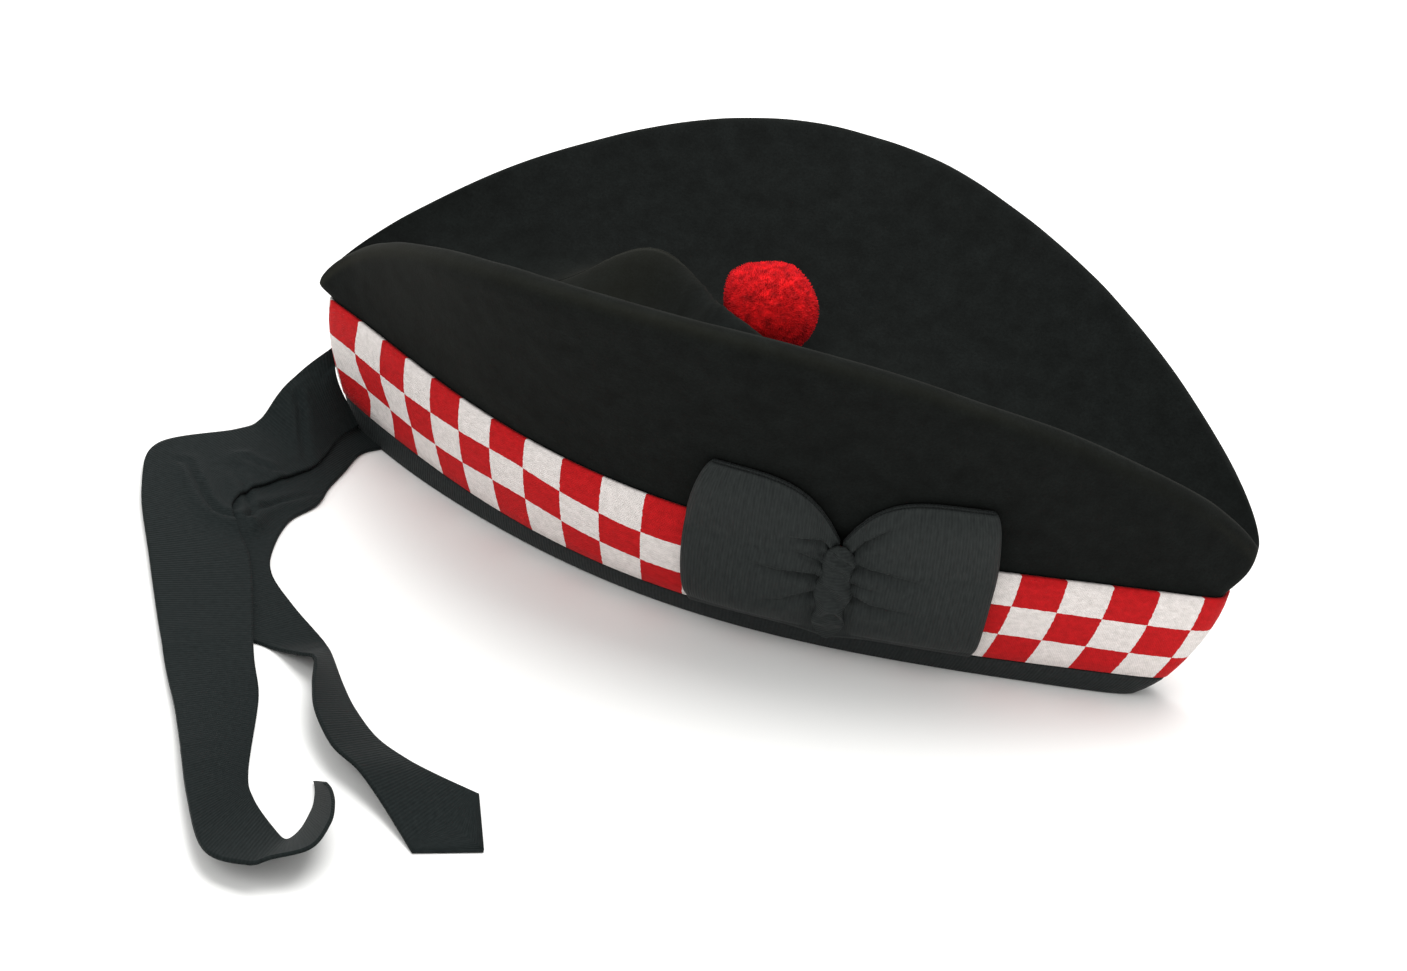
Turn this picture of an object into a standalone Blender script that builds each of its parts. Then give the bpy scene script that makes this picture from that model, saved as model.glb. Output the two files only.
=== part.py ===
"""Glengarry: a boat-shaped cap of black wool felt with a folded-in crown and a red toorie, a red and
white diced band, a ribbon binding round the rim, a ribbon bow on one side and two ribbon tails behind.

The cap stands on its rim. +X is its front, -Y the side with the bow, +Z up, and the origin is the
middle of the head opening in the plane of the rim. Lengths are in metres and angles in degrees.
"""
import math
from collections import namedtuple

import bmesh
import bpy
from mathutils import Matrix, Vector

# The cap seen from above, at its rim, at the band's top edge and along the two ridges of the fold
RIM_LENGTH = 0.2347
RIM_WIDTH = 0.0782
BAND_TOP_LENGTH = 0.2628
BAND_TOP_WIDTH = 0.1025
RIDGE_LENGTH = 0.2730
RIDGE_WIDTH = 0.1590
FRONT_SEAM_WIDTH = 0.0210
BACK_SEAM_WIDTH = 0.0136
RIDGE_SEAM_WIDTH = 0.0122
REAR_FULLNESS = 0.195
RIDGE_REAR_FULLNESS = 0.259

# The cap seen from the side
RIDGE_HEIGHT = 0.1009
FRONT_TIP_HEIGHT = 0.0516
BACK_TIP_HEIGHT = 0.0401
CROWN_DEPTH = 0.0391
FOLD_RADIUS = 0.0030
TIP_BULGE = 0.0021

# How the curves between these sizes bend: the side's flare, the ridges, the trough and its walls
FLARE_POWER = 1.77
RIDGE_POWER = 1.5
TROUGH_POWER = 1.7
CROWN_POWER = 1.4

# Cloth and ribbon
FELT = 0.0025
GAP = 0.00035
BINDING_HEIGHT = 0.0064
BINDING_THICKNESS = 0.0008
BAND_HEIGHT = 0.0300
BAND_THICKNESS = 0.0010
RIBBON_WIDTH = 0.0240
RIBBON_THICKNESS = 0.0009

# The toorie and the dimple that its stitches pull
TOORIE_DIAMETER = 0.0258
TOORIE_PLACE = -0.0054
TOORIE_LOCKS = 38
LOCK_WIDTH = 0.0066
LOCK_LENGTH = 0.0070
DIMPLE_DEPTH = 0.0015

# The bow on the near side
BOW_PLACE = 0.0360
BOW_HEIGHT = 0.0345
BOW_REACH = 0.0396
BOW_WIDTH = 0.0480
BOW_PINCH = 0.0308
BOW_SAG = 0.0024
BOW_PUFF = 0.0030
BOW_DROOP = 0.0012
KNOT_WIDTH = 0.0084
KNOT_HEIGHT = 0.0306
KNOT_STAND = 0.0032

# Distance between a loop's two layers at the knot and at its end, in thicknesses of ribbon
LAYERS_AT_KNOT = 1.7
LAYERS_AT_END = 3.2

# The tails, each as long as it runs along the floor
LONG_TAIL = 0.2600
SHORT_TAIL = 0.2000
TAIL_ROOT_HEIGHT = 0.0215
TAIL_POINT = 0.0130

# How finely the curved surfaces are cut
STATIONS = 32
BAND_TOP = BINDING_HEIGHT + BAND_HEIGHT

# A place where the rim turns out of the side's line: its turn round the cap, its spread, and how far it
# turns out in felt thicknesses
RimTurn = namedtuple("RimTurn", "turn spread out")
RIM_TURNS = (
    RimTurn(38, 24, 1.0),
    RimTurn(180, 20, -0.72),
)

# A line along the ridges' fold: its rise above the ridge and its place outside it, in fold radii
FoldLine = namedtuple("FoldLine", "rise out")
SHOULDER = FoldLine(-1.13, 0.33)
FOLD_TOP = (FoldLine(-0.35, 0.30), FoldLine(0.0, 0.0), FoldLine(0.12, -0.60))
LIP = FoldLine(0.03, -1.17)

# A swell of spare cloth in the crown: its place ahead of the toorie's middle and to the far side of it,
# its length and its width in toorie diameters, and its rise in crown depths. Together they make a hump
# that runs on in front of the toorie
Swell = namedtuple("Swell", "ahead aside rise length width")
SWELLS = (
    Swell(-1.574, 0.000, 0.422, 0.659, 0.465),
    Swell(-1.070, -0.039, 0.189, 0.465, 0.388),
    Swell(-0.663, -0.403, 0.322, 0.310, 0.310),
    Swell(-0.411, -0.713, 0.258, 0.271, 0.310),
    Swell(-0.101, -0.930, 0.210, 0.310, 0.310),
    Swell(0.248, -1.047, 0.113, 0.349, 0.349),
    Swell(0.636, -1.202, 0.113, 0.388, 0.388),
)
# The swells fade within this many toorie diameters of its middle, and its dimple reaches its edge
POCKET = 0.58
DIMPLE = 0.5

# A loop of the bow: its side of the knot, its reach as a share of the bow's, and how far its end draws
# in at the lower and the upper corner, as shares of that reach
Loop = namedtuple("Loop", "side reach lower upper")
REAR_LOOP = Loop(-1, 1.0, 0.09, 0.12)
FRONT_LOOP = Loop(1, 0.965, 0.075, 0.055)

# A section of a tail: its middle from the cap's back end, as shares of the tail's length forward and
# to the near side, its lift as a share of the ribbon's width, the way that its width points seen from
# above, its tilt, and its spread as a share of the ribbon's width
Section = namedtuple("Section", "ahead aside lift turn tilt spread")


# Materials

def material(name, color, roughness):
    """A plain cloth finish."""
    finish = bpy.data.materials.new(name)
    finish.use_nodes = True
    shader = finish.node_tree.nodes["Principled BSDF"]
    shader.inputs["Base Color"].default_value = (*color, 1.0)
    shader.inputs["Roughness"].default_value = roughness
    shader.inputs["Metallic"].default_value = 0.0
    return finish


# The cap's outline

def blend(start, end, share):
    """The value a share of the way from start to end."""
    return start + (end - start) * share


class Outline:
    """A long oval seen from above, fuller towards the back, with a blunt seam at each end."""

    def __init__(self, length, width, fullness, seams, powers):
        self.half_length = length / 2
        self.half_width = width / 2
        self.fullness = fullness
        self.seams = seams
        self.powers = powers

    def width_at(self, reach, out=0.0):
        """Half the width at a reach from -1, the back, to 1, the front, offset outward by out."""
        share = (1 + reach) / 2
        seam = blend(self.seams[0], self.seams[1], share) / 2
        power = blend(self.powers[0], self.powers[1], share)
        sine = math.sqrt(max(0.0, 1 - reach * reach))
        body = (self.half_width - seam) * sine ** power * (1 - self.fullness * reach)
        return body + (seam + out) * math.sqrt(sine)

    def point(self, turn, out=0.0):
        """The point at a turn in degrees: 0 the back, 90 the near side, 180 the front."""
        reach = -math.cos(math.radians(turn))
        width = self.width_at(reach, out)
        side = -1 if turn <= 180 else 1
        return (self.half_length + out) * reach, side * width


def flare(height):
    """How far the side has opened at a height, from 0 at the rim to 1 at the band's top edge."""
    return 1 - (1 - min(height / BAND_TOP, 1.0)) ** FLARE_POWER


def side_outline(height):
    """The outline of the cap's side at a height up to the band's top edge."""
    share = flare(height)
    return Outline(
        blend(RIM_LENGTH, BAND_TOP_LENGTH, share),
        blend(RIM_WIDTH, BAND_TOP_WIDTH, share),
        REAR_FULLNESS,
        (BACK_SEAM_WIDTH, FRONT_SEAM_WIDTH),
        (2.88, 2.88),
    )


RIDGE = Outline(
    RIDGE_LENGTH, RIDGE_WIDTH, RIDGE_REAR_FULLNESS, (RIDGE_SEAM_WIDTH, RIDGE_SEAM_WIDTH), (2.96, 1.96)
)


def ridge_height(reach):
    """Height of the two ridges at a reach along the cap."""
    sine = math.sqrt(max(0.0, 1 - reach * reach))
    tip = blend(BACK_TIP_HEIGHT, FRONT_TIP_HEIGHT, (1 + reach) / 2)
    return tip + (RIDGE_HEIGHT - tip) * sine ** RIDGE_POWER


def roll_at(reach):
    """Radius of the fold along the ridges, which tightens towards the seams."""
    return min(FOLD_RADIUS, RIDGE.width_at(reach) / 5)


def swelling(swell, ahead, aside):
    """How far a swell raises the crown at a place, all in the swells' own shares."""
    along = (ahead - swell.ahead) / swell.length
    across = (aside - swell.aside) / swell.width
    return swell.rise * math.exp(-along ** 2 - across ** 2)


def crown_height(x, y):
    """Height of the crown, which dips between the ridges like a trough."""
    reach = max(-1.0, min(1.0, x / RIDGE.half_length))
    top = ridge_height(reach)
    sine = math.sqrt(max(0.0, 1 - reach * reach))
    floor = top - CROWN_DEPTH * sine ** TROUGH_POWER
    edge = max(RIDGE.width_at(reach) + LIP.out * roll_at(reach), 1e-6)
    share = min(abs(y) / edge, 1.0)
    height = blend(floor, top, share ** CROWN_POWER)
    ahead = (x - TOORIE_PLACE) / TOORIE_DIAMETER
    aside = y / TOORIE_DIAMETER
    away = math.hypot(ahead, aside)
    pocket = 1 - math.exp(-(away / POCKET) ** 4)
    dimple = DIMPLE_DEPTH * math.exp(-(away / DIMPLE) ** 2)
    swells = pocket * CROWN_DEPTH * sum(swelling(swell, ahead, aside) for swell in SWELLS) - dimple
    return height + swells * (1 - share ** 2)


# Meshes

def turns():
    """The turns of the stations all the way round the cap."""
    return [180 * step / STATIONS for step in range(2 * STATIONS)]


def band_levels():
    """Heights from the band's lower edge to its top, at the joins of its three rows."""
    return [blend(BINDING_HEIGHT + GAP, BAND_TOP, step / 3) for step in range(4)]


def rim_turn(turn, height):
    """How far the rim turns out below the band, most at its lower edge."""
    lift = max(0.0, 1 - height / (BINDING_HEIGHT + GAP))
    outs = [place.out * math.exp(-((turn - place.turn) / place.spread) ** 2) for place in RIM_TURNS]
    return lift * sum(outs) * FELT


def side_point(turn, height, out=0.0):
    """A point of the cap's side at a turn and a height, offset outward by out."""
    return Vector((*side_outline(height).point(turn, out + rim_turn(turn, height)), height))


def side_ring(height, out=0.0):
    """A closed ring of points round the cap's side at a height."""
    return [side_point(turn, height, out) for turn in turns()]


def ridge_ring(line):
    """A ring along a line of the ridges' fold."""
    ring = []
    for turn in turns():
        reach = -math.cos(math.radians(turn))
        x, y = RIDGE.point(turn)
        roll = roll_at(reach)
        width = max(abs(y) + line.out * roll, 0.0) if abs(y) > 1e-9 else 0.0
        ring.append(Vector((x, math.copysign(width, y), ridge_height(reach) + line.rise * roll)))
    return ring


def cheek_ring(share):
    """A ring a share of the way from the band's top edge to the fold, swelled at the two tips."""
    ring = between(side_ring(BAND_TOP), ridge_ring(SHOULDER), share)
    for point in ring:
        reach = point.x / RIDGE.half_length
        point.x += math.copysign(TIP_BULGE * math.sin(math.pi * share) * reach ** 12, reach)
    return ring


def between(first, second, share):
    """The ring a share of the way from one ring to another."""
    return [a.lerp(b, share) for a, b in zip(first, second)]


def crown_ring(edge, share, drop=0.0):
    """A ring on the crown, its width a share of the width of the edge ring."""
    ring = []
    for point in edge:
        y = point.y * share
        ring.append(Vector((point.x, y, crown_height(point.x, y) - drop)))
    return ring


def add_object(name, mesh, finish):
    """An object in the cap's collection, with its own finish."""
    obj = bpy.data.objects.new(name, mesh)
    obj.data.materials.append(finish)
    cap_collection.objects.link(obj)
    return obj


def loft(name, rings, finish, closed):
    """Skin closed rings of points in order; closed also joins the last ring to the first."""
    bm = bmesh.new()
    rows = [[bm.verts.new(point) for point in ring] for ring in rings]
    pairs = list(zip(rows, rows[1:]))
    if closed:
        pairs.append((rows[-1], rows[0]))
    for lower, upper in pairs:
        for index in range(len(lower)):
            after = (index + 1) % len(lower)
            bm.faces.new((lower[index], lower[after], upper[after], upper[index]))
    bmesh.ops.remove_doubles(bm, verts=bm.verts, dist=1e-6)
    bmesh.ops.recalc_face_normals(bm, faces=bm.faces)
    mesh = bpy.data.meshes.new(name)
    bm.to_mesh(mesh)
    bm.free()
    mesh.shade_smooth()
    return add_object(name, mesh, finish)


def pad(name, rings, finish):
    """Skin rings of points in order and fill the first and the last."""
    obj = loft(name, rings, finish, False)
    bm = bmesh.new()
    bm.from_mesh(obj.data)
    bmesh.ops.holes_fill(bm, edges=bm.edges)
    bmesh.ops.recalc_face_normals(bm, faces=bm.faces)
    bm.to_mesh(obj.data)
    bm.free()
    return obj


def sheet(name, rows, thickness, finish):
    """A strip of cloth skinned over a grid of points, given its thickness by Solidify."""
    bm = bmesh.new()
    grid = [[bm.verts.new(point) for point in row] for row in rows]
    for lower, upper in zip(grid, grid[1:]):
        for index in range(len(lower) - 1):
            bm.faces.new((lower[index], lower[index + 1], upper[index + 1], upper[index]))
    mesh = bpy.data.meshes.new(name)
    bm.to_mesh(mesh)
    bm.free()
    mesh.shade_smooth()
    obj = add_object(name, mesh, finish)
    wall = obj.modifiers.new("thickness", 'SOLIDIFY')
    wall.thickness = thickness
    wall.offset = 0.0
    return obj


# The felt cap

def build_felt_cap(finish):
    """One hollow shell: sides, two folded ridges and the crown between them."""
    side_levels = [BINDING_THICKNESS + GAP] + band_levels()
    outer = [side_ring(height) for height in side_levels]
    outer += [cheek_ring(share) for share in (0.3, 0.65, 1.0)]
    outer += [ridge_ring(line) for line in FOLD_TOP]
    lip = ridge_ring(LIP)
    outer += [crown_ring(lip, share) for share in (1.0, 0.7, 0.44, 0.32, 0.21, 0.1, 0.0)]

    inner = [side_ring(height, -FELT) for height in side_levels]
    fold = []
    for turn in turns():
        x, y = RIDGE.point(turn, -1.2 * FELT)
        fold.append(Vector((x, y, crown_height(x, y) - 1.15 * FELT)))
    inner += [between(inner[4], fold, share) for share in (0.35, 0.7)]
    inner += [crown_ring(fold, share, 1.15 * FELT) for share in (1.0, 0.55, 0.32, 0.16, 0.0)]
    inner.reverse()

    bm = bmesh.new()
    outer_rows = [[bm.verts.new(point) for point in ring] for ring in outer]
    inner_rows = [[bm.verts.new(point) for point in ring] for ring in inner]
    pairs = list(zip(outer_rows, outer_rows[1:])) + list(zip(inner_rows, inner_rows[1:]))
    pairs.append((inner_rows[-1], outer_rows[0]))
    for lower, upper in pairs:
        for index in range(len(lower)):
            after = (index + 1) % len(lower)
            bm.faces.new((lower[index], lower[after], upper[after], upper[index]))
    bmesh.ops.remove_doubles(bm, verts=bm.verts, dist=1e-6)
    bmesh.ops.recalc_face_normals(bm, faces=bm.faces)
    mesh = bpy.data.meshes.new("felt_cap")
    bm.to_mesh(mesh)
    bm.free()
    mesh.shade_smooth()
    return add_object("felt_cap", mesh, finish)


# The diced band and the rim binding

def build_diced_band(finish):
    """A woven strip sewn round the side, standing on the binding."""
    outside = [side_ring(height, GAP + BAND_THICKNESS) for height in band_levels()]
    inside = [side_ring(height, GAP) for height in reversed(band_levels())]
    return loft("diced_band", outside + inside, finish, True)


def build_rim_binding(finish):
    """A ribbon folded over the felt's edge, with a leg on each side of it."""
    outside = GAP + BINDING_THICKNESS
    inside = -(FELT + GAP)
    top = BINDING_HEIGHT
    rings = [
        side_ring(0.0, outside),
        side_ring(top / 2, outside),
        side_ring(top, outside),
        side_ring(top, GAP),
        side_ring(BINDING_THICKNESS, GAP),
        side_ring(BINDING_THICKNESS, inside),
        side_ring(top, inside),
        side_ring(top, inside - BINDING_THICKNESS),
        side_ring(0.0, inside - BINDING_THICKNESS),
    ]
    return loft("rim_binding", rings, finish, True)


# The toorie

def toorie_seat():
    """Height of the toorie's lowest point, where its ball clears the crown all round."""
    radius = TOORIE_DIAMETER / 2
    seat = 0.0
    for step in range(12):
        reach = radius * step / 12
        rise = radius - math.sqrt(radius ** 2 - reach ** 2)
        for turn in range(0, 360, 15):
            x = TOORIE_PLACE + reach * math.cos(math.radians(turn))
            y = reach * math.sin(math.radians(turn))
            seat = max(seat, crown_height(x, y) - rise)
    return seat + 3 * GAP


def build_toorie(finish):
    """A wool pompom: a core with tufts of yarn fused to it."""
    radius = TOORIE_DIAMETER / 2
    centre = Vector((TOORIE_PLACE, 0.0, toorie_seat() + radius))

    bm = bmesh.new()
    bmesh.ops.create_icosphere(bm, subdivisions=2, radius=radius - 0.35 * LOCK_LENGTH)
    bmesh.ops.translate(bm, verts=bm.verts, vec=centre)
    mesh = bpy.data.meshes.new("toorie")
    bm.to_mesh(mesh)
    bm.free()
    toorie = add_object("toorie", mesh, finish)

    golden = math.pi * (3 - math.sqrt(5))
    for index in range(TOORIE_LOCKS):
        upward = 1 - 2 * (index + 0.5) / TOORIE_LOCKS
        ring = math.sqrt(1 - upward * upward)
        way = Vector((ring * math.cos(golden * index), ring * math.sin(golden * index), upward))
        stand = Vector((0, 0, 1)).rotation_difference(way).to_matrix().to_4x4()
        wide = LOCK_WIDTH / 2 * (1 + 0.12 * math.sin(7 * index))
        sunk = LOCK_LENGTH * (0.5 + 0.05 * (1 + math.sin(5 * index)))
        lock = bmesh.new()
        bmesh.ops.create_icosphere(lock, subdivisions=2, radius=1.0)
        lock.transform(Matrix.Diagonal((wide, wide, LOCK_LENGTH / 2, 1.0)))
        lock.transform(Matrix.Translation(centre + way * (radius - sunk)) @ stand)
        lock_mesh = bpy.data.meshes.new("lock")
        lock.to_mesh(lock_mesh)
        lock.free()
        piece = bpy.data.objects.new(f"lock_{index}", lock_mesh)
        piece.hide_render = True
        piece.display_type = 'WIRE'
        lock_collection.objects.link(piece)

    fuse = toorie.modifiers.new("fuse_locks", 'BOOLEAN')
    fuse.operation = 'UNION'
    fuse.solver = 'EXACT'
    fuse.operand_type = 'COLLECTION'
    fuse.collection = lock_collection
    return toorie


# The bow

def near_wall(x, z):
    """The felt's outside on the near side at a place along the cap and a height."""
    if z <= BAND_TOP:
        outline = side_outline(z)
        return Vector((x, -outline.width_at(x / outline.half_length), z))
    lower = side_outline(BAND_TOP)
    reach = x / RIDGE.half_length
    share = (z - BAND_TOP) / (ridge_height(reach) - BAND_TOP)
    low = lower.width_at(x / lower.half_length)
    return Vector((x, -blend(low, RIDGE.width_at(reach), share), z))


def off_wall(x, z, out):
    """A point out from the near wall, square to it."""
    step = 0.001
    along = near_wall(x + step, z) - near_wall(x - step, z)
    up = near_wall(x, z + step) - near_wall(x, z - step)
    return near_wall(x, z) + along.cross(up).normalized() * out


def bow_back():
    """Distance from the felt to the bow's back layer."""
    return GAP + BAND_THICKNESS + GAP + RIBBON_THICKNESS / 2


def pinch_middle():
    """Height of the middle of the bow where the knot draws it in."""
    return BOW_HEIGHT - BOW_WIDTH / 2 - BOW_SAG + BOW_PINCH / 2


def lobe_point(loop, along, across, out):
    """A point of a loop: along from the knot, 0, to its end, 1; across from the lower edge, -1, to 1."""
    opening = 1 - (1 - along) ** 5
    half = blend(BOW_PINCH, BOW_WIDTH, opening) / 2
    middle = blend(pinch_middle(), BOW_HEIGHT, opening)
    corner = (loop.upper if across > 0 else loop.lower) * across ** 2 * along ** 4
    x = BOW_PLACE + loop.side * (GAP + (loop.reach * BOW_REACH - GAP) * (along - corner))
    droop = BOW_DROOP * along * min(across, 0.0) ** 2
    return off_wall(x, middle + half * across - droop, out)


def layer_step(along):
    """Distance between a loop's two layers, which the knot draws together."""
    return blend(LAYERS_AT_KNOT, LAYERS_AT_END, along) * RIBBON_THICKNESS


def grip():
    """Share of a loop's length that the knot holds flat."""
    return 0.62 * KNOT_WIDTH / BOW_REACH


def build_lobe(name, loop, finish):
    """A loop of ribbon: a back layer against the band, a bend, and a puffed front layer."""
    across = [step / 4 - 1 for step in range(9)]
    back = bow_back()
    rows = []
    for step in range(6):
        along = step / 5 * 0.97
        rows.append([lobe_point(loop, along, place, back) for place in across])
    rows.append([lobe_point(loop, 1.0, place, back + layer_step(1.0) / 2) for place in across])
    for step in range(9):
        along = 0.97 * (1 - step / 8)
        free = max(0.0, (along - grip()) / (1 - grip()))
        puff = BOW_PUFF * math.sin(math.pi * free ** 0.7) ** 0.8
        row = []
        for place in across:
            front = back + layer_step(along) + puff * (1 - 0.4 * place ** 2)
            row.append(lobe_point(loop, along, place, front))
        rows.append(row)
    return sheet(name, rows, RIBBON_THICKNESS, finish)


def build_bow_knot(finish):
    """The gathered middle of the bow, a small pleated pad sewn over the joint of the loops."""
    base = bow_back() + layer_step(grip()) + RIBBON_THICKNESS / 2 + GAP
    rings = []
    for step in range(9):
        share = 0.98 * (step / 4 - 1)
        swell = math.sqrt(1 - share ** 4)
        ring = []
        for corner in range(14):
            angle = 2 * math.pi * corner / 14
            wide = KNOT_WIDTH / 2 * swell * math.cos(angle)
            front = max(math.sin(angle), 0.0)
            pleat = 1 - 0.16 * (1 + math.cos(6 * angle + 4 * share))
            out = base + KNOT_STAND * front * swell * pleat
            ring.append(off_wall(BOW_PLACE + wide, pinch_middle() + KNOT_HEIGHT / 2 * share, out))
        rings.append(ring)
    return pad("bow_knot", rings, finish)


# The tails

LONG_SECTIONS = (
    Section(-0.035, 0.043, 0.375, -33, -25, 0.98),
    Section(-0.038, 0.081, 0.219, -29, -13, 1.06),
    Section(-0.040, 0.113, 0.104, -29, -2, 1.12),
    Section(-0.051, 0.144, 0.081, -28, 0, 1.15),
    Section(-0.087, 0.218, 0.078, -15, 0, 1.38),
    Section(-0.068, 0.288, 0.077, 4, 0, 1.09),
    Section(0.001, 0.388, 0.077, 32, 0, 1.09),
    Section(0.093, 0.543, 0.077, 44, 0, 0.95),
    Section(0.140, 0.616, 0.078, 59, -6, 0.98),
    Section(0.200, 0.731, 0.120, 78, -11, 0.96),
    Section(0.238, 0.783, 0.136, 95, -10, 1.29),
    Section(0.277, 0.801, 0.172, 101, -16, 1.06),
    Section(0.293, 0.798, 0.191, 103, -23, 0.84),
    Section(0.307, 0.775, 0.222, 119, -26, 0.90),
    Section(0.304, 0.739, 0.234, 124, -28, 0.87),
    Section(0.296, 0.715, 0.230, 126, -32, 0.77),
    Section(0.286, 0.696, 0.214, 125, -33, 0.68),
    Section(0.277, 0.684, 0.183, 123, -33, 0.55),
)
SHORT_SECTIONS = (
    Section(-0.005, 0.080, 0.021, -13, 0, 0.75),
    Section(-0.015, 0.144, 0.021, -9, 0, 0.98),
    Section(-0.012, 0.210, 0.021, 0, 0, 0.98),
    Section(-0.004, 0.270, 0.021, 5, 0, 0.99),
    Section(-0.012, 0.347, 0.021, 17, 0, 0.99),
    Section(0.014, 0.448, 0.021, 38, 0, 1.00),
    Section(0.056, 0.521, 0.021, 55, 0, 0.99),
    Section(0.122, 0.578, 0.021, 64, 0, 0.96),
    Section(0.187, 0.603, 0.029, 56, 0, 0.61),
    Section(0.221, 0.624, 0.127, 83, -16, 0.59),
    Section(0.244, 0.643, 0.196, 94, -26, 0.62),
    Section(0.277, 0.697, 0.202, 82, -27, 0.68),
    Section(0.309, 0.742, 0.192, 79, -24, 0.79),
    Section(0.356, 0.786, 0.168, 78, -20, 0.83),
    Section(0.402, 0.807, 0.149, 78, -17, 0.84),
    Section(0.447, 0.826, 0.097, 80, -8, 0.95),
    Section(0.509, 0.853, 0.027, 83, 0, 1.27),
)


def smooth(values, place):
    """A smooth curve through values, read at a place from 0 to one less than their number."""
    index = min(int(place), len(values) - 2)
    share = place - index
    before = values[max(index - 1, 0)]
    start, end = values[index], values[index + 1]
    after = values[min(index + 2, len(values) - 1)]
    rise = (end - before) / 2
    fall = (after - start) / 2
    square, cube = share ** 2, share ** 3
    return (
        start * (2 * cube - 3 * square + 1) + rise * (cube - 2 * square + share)
        + end * (3 * square - 2 * cube) + fall * (cube - square)
    )


def tail_edges(section, length):
    """The two ends of a section's width, left and right."""
    seam = Vector((-RIM_LENGTH / 2, 0.0, 0.0))
    middle = seam + Vector((section.ahead * length, -section.aside * length, section.lift * RIBBON_WIDTH))
    turn, tilt = math.radians(section.turn), math.radians(section.tilt)
    way = Vector((math.cos(turn) * math.cos(tilt), math.sin(turn) * math.cos(tilt), math.sin(tilt)))
    half = way * section.spread * RIBBON_WIDTH / 2
    return middle - half, middle + half


def build_tail(name, sections, length, root, point, finish):
    """A ribbon through its sections, from its root on the cap to its cut end."""
    edges = [tail_edges(section, length) for section in sections]
    across = [step / 4 for step in range(5)]
    stations = [[left.lerp(right, place) for place in across] for left, right in edges]
    stations.insert(0, root)
    rows = []
    finer = 2
    for step in range((len(stations) - 1) * finer + 1):
        place = step / finer
        row = []
        for index in range(len(across)):
            row.append(smooth([station[index] for station in stations], place))
        rows.append(row)
    ahead = (rows[-1][2] - rows[-2][2]).normalized()
    for index, place in enumerate(across):
        rows[-1][index] = rows[-1][index] + ahead * point * (1 - abs(2 * place - 1))
    floor = 0.0002 + RIBBON_THICKNESS / 2
    for row in rows:
        for spot in row:
            spot.z = max(spot.z, floor)
    return sheet(name, rows, RIBBON_THICKNESS, finish)


def long_tail_root():
    """The long tail's root, sewn up the back seam."""
    out = GAP + BAND_THICKNESS + GAP + RIBBON_THICKNESS / 2
    spots = []
    for step in range(5):
        share = step / 4
        height = blend(TAIL_ROOT_HEIGHT, 0.0035, share)
        spots.append(side_point(blend(-8, 18, share) % 360, height, out))
    return spots


def short_tail_root():
    """The short tail's root, which comes out beside the binding on the floor."""
    out = GAP + BINDING_THICKNESS + GAP + RIBBON_THICKNESS / 2
    height = 0.0002 + RIBBON_THICKNESS / 2
    spots = []
    for step in range(5):
        spots.append(side_point(blend(10, 28, step / 4), height, out))
    return spots


# Build everything
for old in list(bpy.data.objects):
    bpy.data.objects.remove(old, do_unlink=True)

cap_collection = bpy.data.collections.new("glengarry")
lock_collection = bpy.data.collections.new("toorie_locks")
bpy.context.scene.collection.children.link(cap_collection)
bpy.context.scene.collection.children.link(lock_collection)

felt = material("black_wool_felt", (0.014, 0.015, 0.015), 0.95)
dicing = material("red_white_dicing", (0.60, 0.20, 0.20), 0.85)
braid = material("black_binding", (0.016, 0.017, 0.018), 0.75)
bow_ribbon = material("black_bow_ribbon", (0.028, 0.030, 0.030), 0.70)
tail_ribbon = material("black_tail_ribbon", (0.024, 0.027, 0.028), 0.70)
wool = material("red_wool", (0.60, 0.010, 0.014), 0.95)

build_felt_cap(felt)
build_diced_band(dicing)
build_rim_binding(braid)
build_toorie(wool)
build_lobe("bow_rear_loop", REAR_LOOP, bow_ribbon)
build_lobe("bow_front_loop", FRONT_LOOP, bow_ribbon)
build_bow_knot(bow_ribbon)
build_tail("long_tail", LONG_SECTIONS, LONG_TAIL, long_tail_root(), 0.0, tail_ribbon)
build_tail("short_tail", SHORT_SECTIONS, SHORT_TAIL, short_tail_root(), TAIL_POINT, tail_ribbon)
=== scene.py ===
import math
from collections import namedtuple

import bmesh
import bpy
from mathutils import Matrix, Vector, noise


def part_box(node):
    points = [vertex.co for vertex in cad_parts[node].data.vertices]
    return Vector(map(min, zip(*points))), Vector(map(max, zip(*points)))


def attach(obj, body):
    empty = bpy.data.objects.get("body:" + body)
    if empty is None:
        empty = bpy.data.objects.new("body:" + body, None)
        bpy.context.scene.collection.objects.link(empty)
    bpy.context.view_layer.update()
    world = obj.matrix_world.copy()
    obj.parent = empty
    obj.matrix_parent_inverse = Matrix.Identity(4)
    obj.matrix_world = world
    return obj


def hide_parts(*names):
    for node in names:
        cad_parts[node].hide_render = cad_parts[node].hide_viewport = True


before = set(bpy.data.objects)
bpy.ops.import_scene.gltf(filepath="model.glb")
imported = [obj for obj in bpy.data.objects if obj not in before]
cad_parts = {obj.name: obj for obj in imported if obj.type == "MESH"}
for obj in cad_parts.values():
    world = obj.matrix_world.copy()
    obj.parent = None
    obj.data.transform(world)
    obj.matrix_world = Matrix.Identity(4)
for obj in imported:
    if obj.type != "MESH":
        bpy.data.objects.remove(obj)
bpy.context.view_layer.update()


# Felt cap
# The body of the cap is thick black wool felt, milled, dyed and pressed to shape: two sides, and a
# crown tucked in between them. It is one hollow shell with a 2.5 mm wall and a soft nap outside.

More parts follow.
